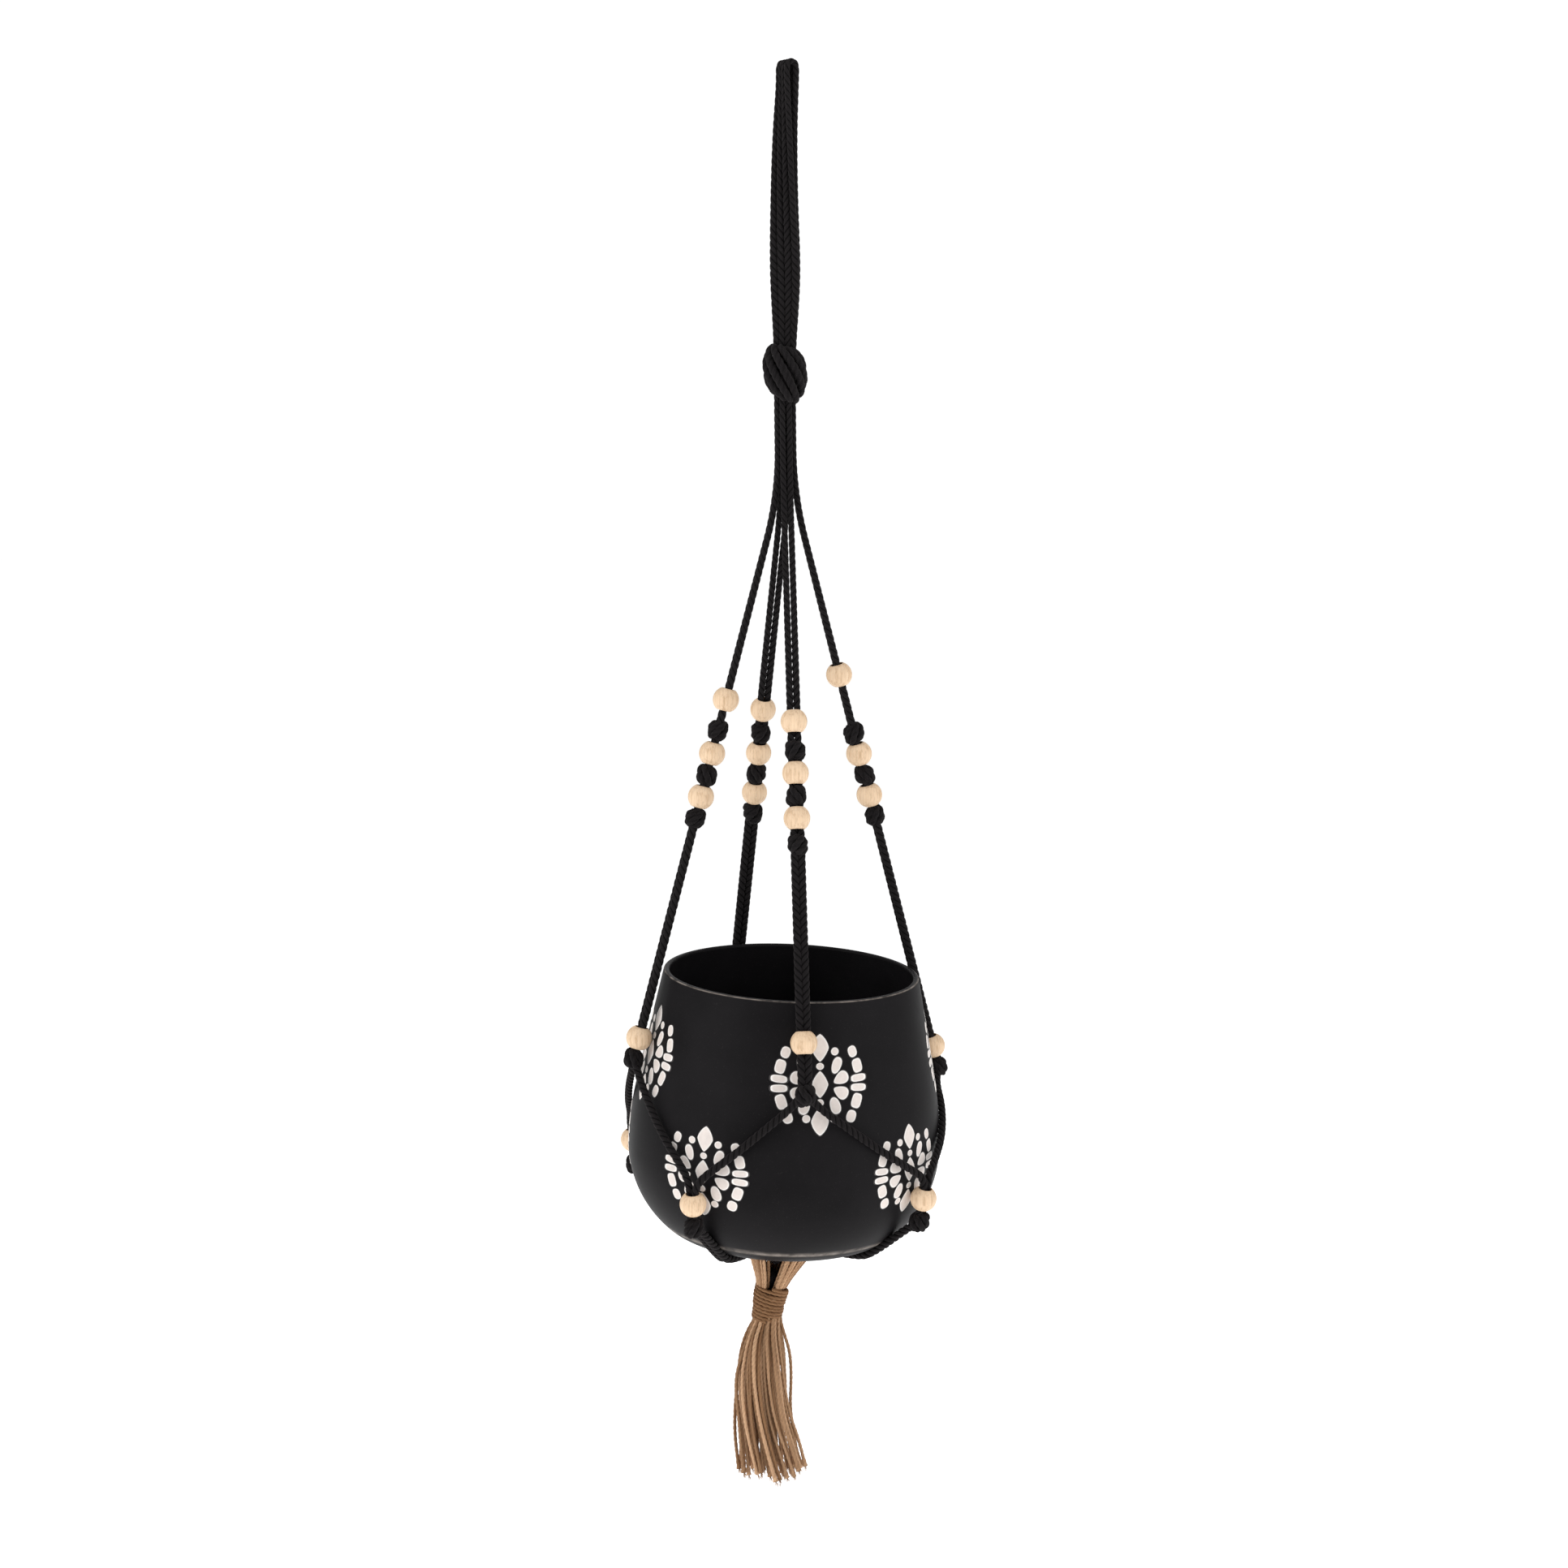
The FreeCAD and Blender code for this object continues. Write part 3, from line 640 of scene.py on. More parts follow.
def wood_finish():
    """Pale turned beech: straight grain, short pores and a faint waxed shine."""
    beads = bpy.context.scene.planter_beads
    pale, dark = tuple(beads.pale), tuple(beads.dark)
    wood = Finish("natural_beech")
    place = wood.node("ShaderNodeTexCoord").outputs["Object"]
    warp = wood.noise(place, 90.0, detail=2.0)
    grain_place = wood.scaled(place, (1.0, 1.0, 0.10))
    grain = wood.noise(grain_place, 620.0, detail=5.0, roughness=0.6)
    rings = wood.node("ShaderNodeTexWave", Vector=wood.scaled(place, (1.0, 0.55, 0.12)), Scale=210.0,
                      Distortion=5.0, Detail=3.0, Detail_Scale=1.4)
    pores = wood.noise(wood.scaled(place, (1.0, 1.0, 0.16)), 2600.0, detail=2.0)
    base = wood.ramp(grain, (0.36, shade(dark, 0.92)), (0.50, pale), (0.78, shade(pale, 1.10)))
    base = wood.mixed(wood.math("MULTIPLY", rings.outputs["Fac"], 0.42), base, (*shade(dark, 1.12), 1.0))
    base = wood.mixed(wood.ramp(warp, (0.38, 0.0), (0.72, 0.30)), base, (*shade(pale, 1.12), 1.0))
    base = wood.mixed(1.0, base, wood.ramp(pores, (0.26, 0.80), (0.40, 1.0)), "MULTIPLY")
    groove = wood.attribute("groove").outputs["Fac"]
    # painted shade: the bore's wall is darkened, as shade falls inside the hole
    base = wood.mixed(1.0, base, wood.ramp(groove, (0.0, 1.0), (1.0, (0.42, 0.30, 0.20))), "MULTIPLY")
    height = wood.math("ADD", grain, wood.math("MULTIPLY", pores, 0.5))
    wood.bump(height, 0.00006, 0.6)
    return wood.set(Base_Color=base, Roughness=wood.ramp(grain, (0.3, 0.62), (0.7, 0.46)),
                    Specular_IOR_Level=0.38, Coat_Weight=0.05, Coat_Roughness=0.35)


def ceramic_finish():
    """Matt black ceramic: faint throwing rings, a fine speckle, a lip worn lighter and a painted highlight
    line round the foot.
    """
    glaze = tuple(bpy.context.scene.planter_pot.glaze)
    ceramic = Finish("matt_black_ceramic")
    place = ceramic.node("ShaderNodeTexCoord").outputs["Object"]
    cloud = ceramic.noise(place, 26.0, detail=4.0)
    speckle = ceramic.noise(place, 1500.0, detail=2.0)
    rings = ceramic.noise(ceramic.scaled(place, (6.0, 6.0, 420.0)), 1.0, detail=2.0)
    base = ceramic.ramp(cloud, (0.30, shade(glaze, 0.75)), (0.70, shade(glaze, 1.25)))
    base = ceramic.mixed(ceramic.ramp(speckle, (0.66, 0.0), (0.78, 0.55)), base,
                         (0.055, 0.050, 0.048, 1.0))
    # wear and painted highlight: the lip is worn lighter, and the lighter line round the foot is a painted
    # highlight
    wear_and_highlight = ceramic.math("MULTIPLY", ceramic.attribute("groove").outputs["Fac"],
                       ceramic.ramp(ceramic.noise(place, 140.0, detail=4.0), (0.36, 0.25), (0.62, 1.0)))
    base = ceramic.mixed(wear_and_highlight, base, (0.30, 0.26, 0.23, 1.0))
    height = ceramic.math("ADD", ceramic.math("MULTIPLY", speckle, 0.35),
                          ceramic.math("MULTIPLY", rings, 0.8))
    ceramic.bump(height, 0.00010, 0.35)
    return ceramic.set(Base_Color=base, Roughness=ceramic.ramp(cloud, (0.30, 0.46), (0.70, 0.56)),
                       Specular_IOR_Level=0.055)


def inlay_finish():
    """Pale ceramic inlay: a warm white body with a painted highlight along its raised edge, and faint
    mottling.
    """
    colour = tuple(bpy.context.scene.planter_pot.inlay)
    inlay = Finish("pale_inlay")
    place = inlay.node("ShaderNodeTexCoord").outputs["Object"]
    mottle = inlay.noise(place, 330.0, detail=4.0)
    base = inlay.ramp(mottle, (0.30, shade(colour, 0.94)), (0.70, shade(colour, 1.04)))
    edge = inlay.attribute("groove").outputs["Fac"]
    # painted highlight along the raised edge of each piece
    base = inlay.mixed(inlay.math("MULTIPLY", edge, 0.8), base, (0.93, 0.90, 0.87, 1.0))
    dusk = inlay.attribute("tint").outputs["Fac"]
    base = inlay.mixed(dusk, base, (0.030, 0.026, 0.026, 1.0))
    inlay.bump(inlay.noise(place, 900.0, detail=2.0), 0.00005, 0.5)
    return inlay.set(Base_Color=base, Roughness=inlay.ramp(mottle, (0.3, 0.42), (0.7, 0.58)),
                     Specular_IOR_Level=0.40)


def jute_finish():
    """Jute yarn: long shiny bast fibres, uneven tan to brown, with painted shade between the plies."""
    tassel = bpy.context.scene.planter_tassel
    pale, dark = tuple(tassel.pale), tuple(tassel.dark)
    jute = Finish("jute_yarn")
    lay = jute.attribute("lay").outputs["Vector"]
    tint = jute.attribute("tint").outputs["Fac"]
    fibres = jute.noise(jute.scaled(lay, (420.0, 5.0, 5.0)), 1.0, detail=5.0, roughness=0.72)
    long_streaks = jute.noise(jute.scaled(lay, (60.0, 1.8, 1.8)), 1.0, detail=2.0)
    place = jute.node("ShaderNodeTexCoord").outputs["Object"]
    patches = jute.noise(jute.scaled(place, (1.0, 1.0, 0.35)), 150.0)
    base = jute.ramp(fibres, (0.26, shade(dark, 0.75)), (0.50, shade(pale, 0.72)),
                     (0.78, shade(pale, 1.22)))
    base = jute.mixed(jute.math("MULTIPLY", patches, 0.5), base, (*shade(dark, 1.15), 1.0))
    base = jute.mixed(jute.math("MULTIPLY", long_streaks, 0.45), base, (*shade(pale, 1.1), 1.0))
    yarn_shade = jute.ramp(tint, (0.0, (0.40, 0.33, 0.26)), (0.5, (0.70, 0.67, 0.64)), (1.0, 1.0))
    base = jute.mixed(1.0, base, yarn_shade, "MULTIPLY")
    groove = jute.attribute("groove").outputs["Fac"]
    # painted shade: the yarn is darkened in the grooves between its plies
    base = jute.mixed(1.0, base, jute.ramp(groove, (0.30, 1.0), (1.0, 0.34)), "MULTIPLY")
    jute.bump(fibres, 0.00022, 0.9)
    return jute.set(Base_Color=base, Roughness=jute.ramp(fibres, (0.3, 0.78), (0.8, 0.55)),
                    Sheen_Weight=0.05, Sheen_Roughness=0.45, Sheen_Tint=(1.0, 0.80, 0.58, 1.0),
                    Specular_IOR_Level=0.20)


def floor_finish():
    """A pale matt studio floor with a trace of unevenness."""
    colour = tuple(bpy.context.scene.planter_stage.floor_colour)
    floor = Finish("pale_floor")
    place = floor.node("ShaderNodeTexCoord").outputs["Object"]
    cloud = floor.noise(place, 3.0)
    shine = floor.ramp(cloud, (0.3, shade(colour, 0.99)), (0.7, colour))
    return floor.set(Base_Color=shine, Roughness=0.9, Specular_IOR_Level=0.1, Emission_Color=shine,
                     Emission_Strength=bpy.context.scene.planter_stage.floor_glow)


FINISHES = {
    "cotton": cotton_finish,
    "wood": wood_finish,
    "ceramic": ceramic_finish,
    "inlay": inlay_finish,
    "jute": jute_finish,
    "floor": floor_finish,
}
# The material made for each finish, once it is made.
made_finishes = {}


def finish(name):
    """One shared material of each kind."""
    if name not in made_finishes:
        made_finishes[name] = FINISHES[name]()
    return made_finishes[name]


# ---------------------------------------------------------------- knots
def tie_knot(surface, centre, up, width, height, bands, strands, sweep, seed, slant=0.0, hand=1.0,
             plump=0.18):
    """The outside of a tight overhand knot.

    Bands of parallel strands come out of the core at the top, sweep round the
    outside by some degrees, and tuck in again at the bottom. Each strand is
    plump half way.
    """
    cords = bpy.context.scene.planter_cords
    chance = np.random.default_rng(seed)
    radius = cords.diameter / 2 * 0.97
    across = up.cross(Vector((0, 1, 0))).normalized()
    ahead = across.cross(up)
    outer = width / 2 - radius
    rise = height / 2 - radius
    total = bands * strands
    steps = 34
    middle = up * (rise * 0.92)
    surface.add_rope([centre - middle, centre + middle], outer * 0.80, cords.plies, 0.06, 0.06, 24, 0.0008,
                     swell=lambda way, _line: np.sqrt(np.clip(1.06 - (2 * way - 1) ** 2, 0.1, 1)))
    for band in range(bands):
        lump = chance.uniform(0.88, 1.03)
        reach_up = chance.uniform(0.88, 1.03)
        reach_down = chance.uniform(0.88, 1.20)
        for strand in range(strands):
            start = 360 / total * (band * strands + strand) + chance.uniform(-3, 3)
            start -= 8 / strands * strand
            line = []
            for step in range(steps + 1):
                share = step / steps
                lean = math.radians(122 - 244 * share)
                reach = outer * lump * (0.50 + 0.50 * math.cos(lean))
                lift = rise * (reach_up if lean > 0 else reach_down) * math.sin(lean)
                turn = math.radians(start + hand * sweep * (share - 0.5))
                beside = reach * math.sin(turn)
                level = across * beside - ahead * (reach * math.cos(turn))
                line.append(centre + level + up * (lift - slant * beside))
            surface.add_rope(line, radius, cords.plies, cords.twist, cords.groove, 15, 0.0007,
                             tint=chance.uniform(0.2, 0.9),
                             swell=lambda way, _line: 1 + plump * np.sin(math.pi * way))


# The cord slackens from one height down to another. It is packed together
# round a place above the main knot's middle, and pinched near each bead.
SLACK_STARTS_Z = -0.22
SLACK_GROWS_OVER = 0.22
PACKED_ABOVE_KNOT = 0.054
PACKED_SPREAD = 0.032
PINCH_REACH = 0.0068


def slackened(_share, line):
    """How thick the cord lies at each place, as a share of its own thickness."""
    cords = bpy.context.scene.planter_cords
    above_knot = line[:, 2] - centre_of("main_knot").z
    packed = cords.packing * np.exp(-((above_knot - PACKED_ABOVE_KNOT) / PACKED_SPREAD) ** 2)
    lower = np.clip((SLACK_STARTS_Z - line[:, 2]) / SLACK_GROWS_OVER, 0, 1)
    beads = ["%s_%s" % (leg, part) for leg in LEGS for part in LEG_BEADS]
    beads += [name + "_low_bead" for name in LOWER]
    nearest = np.min([np.linalg.norm(line - np.array(centre_of(bead)), axis=1) for bead in beads], axis=0)
    return 1 + packed + cords.slack * lower * (1 - np.exp(-(nearest / PINCH_REACH) ** 4))


class PLANTER_OT_cords(bpy.types.Operator):
    """Lays the four folded cotton cords from the hook to the gathering under the pot"""
    bl_idname = "planter.lay_cords"
    bl_label = "Cords"

    def execute(self, context):
        cords = context.scene.planter_cords
        for name, (_stack, _first, _second, length) in CORDS.items():
            route = cord_route(name)
            line = smooth_line(name + "_line", route)
            surface = Surface()
            # the front leg's two cords are twisted opposite ways, which makes its plaited look
            hand = 1.0 if name == "cord_middle_right" else -1.0
            followed = surface.add_rope(line, cords.diameter / 2, cords.plies, cords.twist, cords.groove,
                                        24, 0.0006, hand=hand, swell=slackened)
            rope = surface.piece(name + "_rope", "cotton", name)
        return {"FINISHED"}


class PLANTER_OT_main_knot(bpy.types.Operator):
    """Ties the large knot in all eight strands"""
    bl_idname = "planter.tie_main_knot"
    bl_label = "Main knot"

    def execute(self, context):
        knots = context.scene.planter_knots
        surface = Surface()
        tie_knot(surface, centre_of("main_knot"), Vector((0, 0, 1)), knots.main_diameter, knots.main_height,
                 bands=3, strands=3, sweep=205, seed=7, slant=-0.26, hand=-1.0, plump=0.40)
        surface.piece("main_knot_cords", "cotton", "main_knot")
        return {"FINISHED"}


class PLANTER_OT_leg_knots(bpy.types.Operator):
    """Ties the sixteen knots in the doubled legs, three between the beads and one over the rim of each"""
    bl_idname = "planter.tie_leg_knots"
    bl_label = "Leg knots"

    def execute(self, context):
        knots = context.scene.planter_knots
        for row, leg in enumerate(LEGS):
            up = leg_up(leg)
            for column, part in enumerate(LEG_KNOTS):
                name = "%s_%s" % (leg, part)
                surface = Surface()
                seed = 20 + 4 * row + column
                tie_knot(surface, centre_of(name), up, knots.diameter, knots.height, bands=3, strands=2,
                         sweep=150 + 12 * (column % 3), seed=seed, slant=0.16 * (-1) ** (row + column),
                         hand=(-1) ** column)
                surface.piece(name + "_cords", "cotton", name)
        return {"FINISHED"}


class PLANTER_OT_low_knots(bpy.types.Operator):
    """Ties the four knots beneath the lower beads"""
    bl_idname = "planter.tie_low_knots"
    bl_label = "Lower knots"

    def execute(self, context):
        knots = context.scene.planter_knots
        for number, name in enumerate(LOWER):
            node = LowerNode(name)
            surface = Surface()
            tie_knot(surface, node.knot, node.up, knots.diameter, knots.height, bands=3, strands=2,
                     sweep=155, seed=50 + number, slant=0.14, hand=(-1) ** number)
            label = name + "_low_knot"
            surface.piece(label + "_cords", "cotton", label)
        return {"FINISHED"}


# ---------------------------------------------------------------- beads
def turn_bead(name, up):
    """One round wooden bead with flat ends and an eased bore."""
    beads = bpy.context.scene.planter_beads
    centre = centre_of(name)
    radius = beads.diameter / 2
    half = beads.length / 2
    bore = beads.bore / 2
    corner = math.asin(half / radius)
    outline = [(bore, -half * share) for share in (0.0, 0.4, 0.8)]
    outline += [(bore, -half + beads.ease), (bore + beads.ease * 0.35, -half + beads.ease * 0.3),
                (bore + beads.ease, -half)]
    for step in range(29):
        angle = -corner + 2 * corner * step / 28
        outline.append((radius * math.cos(angle), radius * math.sin(angle)))
    outline += [(reach, -along) for reach, along in outline[5:0:-1]]
    outline += outline[:1]
    across = up.cross(Vector((0, 1, 0))).normalized()
    ahead = np.array(across.cross(up))
    across, up, centre = np.array(across), np.array(up), np.array(centre)
    angles = np.arange(64) * (2 * math.pi / 64)
    ring = across[None, :] * np.cos(angles)[:, None] + ahead[None, :] * np.sin(angles)[:, None]
    rings = np.array([centre + up * along + ring * reach for reach, along in outline])
    # the bore's wall is marked as a groove is, for painted shade inside the bore
    inside = np.array([1.0 if reach <= bore + beads.ease * 0.5 else 0.0 for reach, _along in outline])
    surface = Surface()
    surface.add_rings(rings, np.arange(len(rings)) * 0.001, angles, inside[:, None], 0.5, capped=False)
    surface.piece(name + "_turned", "wood", name)


class PLANTER_OT_beads(bpy.types.Operator):
    """Turns the twenty wooden beads"""
    bl_idname = "planter.turn_beads"
    bl_label = "Beads"

    def execute(self, context):
        for leg in LEGS:
            up = leg_up(leg)
            for part in LEG_BEADS:
                turn_bead("%s_%s" % (leg, part), up)
        for name in LOWER:
            turn_bead(name + "_low_bead", LowerNode(name).up)
        return {"FINISHED"}


# ---------------------------------------------------------------- pot
def arc(centre, radius, start, end, steps):
    """Points of an arc between two angles in radians."""
    angles = np.linspace(start, end, steps + 1)
    return [(centre[0] + radius * math.cos(angle), centre[1] + radius * math.sin(angle)) for angle in angles]


def wall_outline(offset, floor_height):
    """(radius, height) points down the pot's wall, moved in by an offset, to where it meets a floor."""
    pot = bpy.context.scene.planter_pot
    lean = math.tan(pot.flare)
    upper = (pot.belly_radius - pot.rim_radius - lean * pot.belly_depth)
    upper /= 1 - math.cos(pot.flare) - lean * math.sin(pot.flare)
    drop = pot.lower_curve - pot.foot_curve
    sweep = math.asin((pot.height - pot.belly_depth - pot.foot_curve) / drop)
    upper_centre = (pot.belly_radius - upper, -pot.belly_depth)
    lower_centre = (pot.belly_radius - pot.lower_curve, -pot.belly_depth)
    foot_centre = (lower_centre[0] + drop * math.cos(sweep), -pot.belly_depth - drop * math.sin(sweep))
    foot_radius = pot.foot_curve - offset
    end = -math.asin(min(1.0, (foot_centre[1] - floor_height) / foot_radius))
    rim = (pot.rim_radius - offset / math.cos(pot.flare), 0.0)
    outline = [rim]
    outline += arc(upper_centre, upper - offset, pot.flare, 0, 30)
    outline += arc(lower_centre, pot.lower_curve - offset, 0, -sweep, 26)[1:]
    outline += arc(foot_centre, foot_radius, -sweep, end, 44)[1:]
    return outline


def pot_outline():
    """The pot's outline in three parts: from the foot up the outside, over the lip, and down inside."""
    pot = bpy.context.scene.planter_pot
    outer = wall_outline(0.0, -pot.height)
    inner = wall_outline(pot.wall, -pot.height + pot.floor)
    lean, slope = math.tan(pot.flare), math.cos(pot.flare)
    outside_centre = (outer[0][0] + pot.lip * lean - pot.lip / slope, -pot.lip)
    inside_centre = (inner[0][0] + pot.lip * lean + pot.lip / slope, -pot.lip)
    outside = arc(outside_centre, pot.lip, pot.flare, math.pi / 2, 8)
    inside = arc(inside_centre, pot.lip, math.pi / 2, math.pi + pot.flare, 8)
    return outer[:0:-1], outside + inside, inner[1:]


# The painted highlight line round the foot: height above the pot's underside, half width.
FOOT_HIGHLIGHT_HEIGHT = 0.0092
FOOT_HIGHLIGHT_WIDTH = 0.0011


class PLANTER_OT_pot(bpy.types.Operator):
    """Throws the round-bellied black pot"""
    bl_idname = "planter.throw_pot"
    bl_label = "Pot"

    def execute(self, context):
        pot = context.scene.planter_pot
        outer, lip, inner = pot_outline()
        outline = [(outer[0][0] * share, outer[0][1]) for share in (0.02, 0.5, 0.9)] + outer + lip + inner
        outline += [(inner[-1][0] * share, inner[-1][1]) for share in (0.9, 0.5, 0.02)]
        lip_start = 3 + len(outer)
        sides = 224
        angles = np.arange(sides) * (2 * math.pi / sides)
        ring = np.array([leaned(outward(math.degrees(angle))) for angle in angles])
        origin, up = np.array(pot_origin()), np.array(POT_UP)
        rings = np.array([origin + up * height + ring * radius for radius, height in outline])
        lip_wear_and_foot_highlight = np.zeros(len(outline))
        # the lip is worn lighter
        lip_wear_and_foot_highlight[lip_start + 2:lip_start + 7] = (0.25, 0.75, 1.0, 0.6, 0.2)
        # painted highlight: a lighter line round the foot
        heights = np.array([height for _radius, height in outline[:lip_start]])
        lip_wear_and_foot_highlight[:lip_start] = 0.85 * np.exp(-((heights + pot.height - FOOT_HIGHLIGHT_HEIGHT) / FOOT_HIGHLIGHT_WIDTH) ** 2)
        surface = Surface()
        surface.add_rings(rings, np.arange(len(outline)) * 0.001, angles, lip_wear_and_foot_highlight[:, None], 0.5)
        surface.piece("pot_thrown", "ceramic", "pot")
        return {"FINISHED"}


def rounded(width, height, squareness, taper=0.0, points=36):
    """An inlay outline: an ellipse made squarer above 2 and more pointed below 2."""
    power = 2.0 / squareness
    outline = []
    for number in range(points):
        angle = 2 * math.pi * number / points
        x = math.copysign(abs(math.cos(angle)) ** power, math.cos(angle))
        y = math.copysign(abs(math.sin(angle)) ** power, math.sin(angle))
        outline.append((width / 2 * x * (1 + taper * y), height / 2 * y))
    return outline


# One medallion, in metres from its centre: across, up, width, height, tilt in
# degrees, squareness and taper. The second list stands on both sides.
AXIS_PIECES = [
    (0.0, 0.0204, 0.0100, 0.0152, 0, 1.35, 0.10),
    (0.0, 0.0101, 0.0043, 0.0038, 0, 2.0, 0.0),
    (0.0, 0.0000, 0.0094, 0.0148, 0, 1.30, 0.0),
    (0.0, -0.0102, 0.0042, 0.0040, 0, 2.0, 0.0),
    (0.0, -0.0206, 0.0100, 0.0154, 0, 1.40, -0.10),
]
SIDE_PIECES = [
    (0.0086, 0.0182, 0.0044, 0.0043, 0, 2.0, 0.0),
    (0.0096, 0.0104, 0.0054, 0.0094, -20, 2.2, 0.12),
    (0.0122, 0.0031, 0.0066, 0.0092, -62, 2.0, 0.42),
    (0.0122, -0.0046, 0.0066, 0.0092, -118, 2.0, 0.42),
    (0.0088, -0.0120, 0.0060, 0.0096, 18, 2.2, -0.10),
    (0.0078, -0.0190, 0.0044, 0.0044, 0, 2.0, 0.0),
    (0.0192, 0.0176, 0.0052, 0.0064, 20, 2.5, 0.0),
    (0.0222, 0.0096, 0.0058, 0.0078, 16, 3.2, 0.0),
    (0.0230, 0.0027, 0.0092, 0.0041, 4, 3.0, 0.0),
    (0.0230, -0.0026, 0.0094, 0.0041, -3, 3.0, 0.0),
    (0.0218, -0.0100, 0.0060, 0.0082, -18, 3.2, 0.0),
    (0.0184, -0.0184, 0.0058, 0.0068, -18, 2.5, 0.0),
]


class WallMap:
    """Lays flat shapes onto the pot's outer wall."""

    def __init__(self):
        pot = bpy.context.scene.planter_pot
        wall = np.array(wall_outline(0.0, -pot.height))
        self.radius, self.height = wall[:, 0], wall[:, 1]
        self.along = np.concatenate([[0], np.cumsum(np.linalg.norm(np.diff(wall, axis=0), axis=1))])
        slope = np.gradient(wall, axis=0)
        slope /= np.linalg.norm(slope, axis=1)[:, None]
        self.out, self.rise = -slope[:, 1], slope[:, 0]

    def place(self, azimuth, depth, across, up, lift):
        """The point of a flat shape whose centre lies at an azimuth and depth."""
        middle = np.interp(depth, -self.height, self.along)
        at = middle - up
        radius, height = np.interp(at, self.along, self.radius), np.interp(at, self.along, self.height)
        out, rise = np.interp(at, self.along, self.out), np.interp(at, self.along, self.rise)
        return pot_point(azimuth + math.degrees(across / radius), radius + out * lift, height + rise * lift)


def lay_inlay(surface, wall, azimuth, depth, piece, side, squash):
    """One inlaid piece: a dark seat, a rounded edge with a painted highlight and a slightly sunk face."""
    across, up, width, height, tilt, squareness, taper = piece
    turn = math.radians(tilt)
    outline = rounded(width, height, squareness, taper)
    small = min(width, height) / 2
    # each ring: share of the outline, lift off the wall, painted highlight of the edge, darkness of the seat
    rings = [(1 + 0.00045 / small, -0.0003, 0.0, 1.0), (1 + 0.00042 / small, 0.00006, 0.0, 1.0),
             (1 + 0.00006 / small, 0.00008, 0.0, 1.0), (1.0, 0.00016, 1.0, 0.0),
             (1 - 0.00022 / small, 0.00025, 1.0, 0.0), (1 - 0.00055 / small, 0.00019, 0.35, 0.0),
             (0.70, 0.00017, 0.0, 0.0), (0.42, 0.00017, 0.0, 0.0), (0.14, 0.00017, 0.0, 0.0)]
    places, groove, tint = [], [], []
    for share, lift, edge, seat in rings:
        for x, y in outline:
            x, y = x * share, y * share
            beside = side * (across + x * math.cos(turn) - y * math.sin(turn))
            above = (up + x * math.sin(turn) + y * math.cos(turn)) * squash
            places.append(wall.place(azimuth, depth, beside, above, lift))
            groove.append(edge)
            tint.append(seat)
    # the mirrored pieces' faces run the other way round, so they face out as well
    corners = len(outline)
    faces = []
    for row in range(len(rings) - 1):
        for column in range(corners):
            after = (column + 1) % corners
            low, high = row * corners, (row + 1) * corners
            faces.append((low + column, low + after, high + after, high + column)[::side])
    last = (len(rings) - 1) * corners
    faces.append(tuple(range(last, last + corners))[::side])
    lay = np.zeros((len(places), 3))
    surface.add(np.array(places), faces, lay, np.array(groove), np.array(tint))


class PLANTER_OT_inlay(bpy.types.Operator):
    """Lays two rows of pale medallions into the pot's wall"""
    bl_idname = "planter.lay_inlay"
    bl_label = "Inlaid medallions"

    def execute(self, context):
        pot = context.scene.planter_pot
        wall = WallMap()
        surface = Surface()
        # each row: depth, azimuth and spacing of its front medallions, how many they are, and a
        # vertical squash; the rest share what is left of the circle
        for depth, first, spacing, front, squash in ((pot.upper_depth, -72.0, 84.3, 3, 1.0),
                                                     (pot.lower_depth, -30.2, 81.8, 2, 0.93)):
            azimuths = [first + spacing * number for number in range(front)]
            rest = pot.medallions - front
            gap = (360 - spacing * (front - 1)) / (rest + 1)
            azimuths += [azimuths[-1] + gap * number for number in range(1, rest + 1)]
            for azimuth in azimuths:
                for piece in AXIS_PIECES:
                    lay_inlay(surface, wall, azimuth, depth, piece, 1, squash)
                for piece in SIDE_PIECES:
                    lay_inlay(surface, wall, azimuth, depth, piece, 1, squash)
                    lay_inlay(surface, wall, azimuth, depth, piece, -1, squash)
        surface.piece("pot_inlay", "inlay", "pot", replaces=False)
        return {"FINISHED"}


# ---------------------------------------------------------------- tassel
def lay_yarn(surface, line, chance, step=0.0008, swell=None, thin=1.0, tint=None):
    """One twisted jute yarn along a line."""
    tassel = bpy.context.scene.planter_tassel
    tint = chance.uniform(0, 1) if tint is None else tint
    surface.add_rope(line, tassel.yarn / 2 * thin, 2, tassel.twist, 0.34, 10, step, tint=tint, swell=swell)


def add_fibres(surface, root, direction, chance, number, length, spread):
    """Loose fibres that splay from a place on a yarn."""
    direction = np.array(direction) / np.linalg.norm(direction)
    for _fibre in range(number):
        away = chance.normal(0, spread, 3)
        heading = direction + away
        heading /= np.linalg.norm(heading)
        bend = chance.normal(0, 0.30, 3)
        reach = length * chance.uniform(0.5, 1.25)
        start = np.array(root) + away * 0.0004
        line = []
        for share in (0, 0.35, 0.7, 1.0):
            line.append(start + heading * reach * share + bend * reach * share ** 2 * 0.5)
        surface.add_rope(line, 0.00010, 2, 0.01, 0.0, 3, reach / 3, tint=chance.uniform(0.3, 1.0),
                         swell=lambda share, _line: 1.0 - 0.6 * share)


# A head yarn's share of the way down, and how wide of the neck it is there.
HEAD_SPREAD = [(0.0, 0.90), (0.10, 0.99), (0.35, 0.72), (0.65, 0.34), (0.88, 0.08), (1.0, 0.0)]


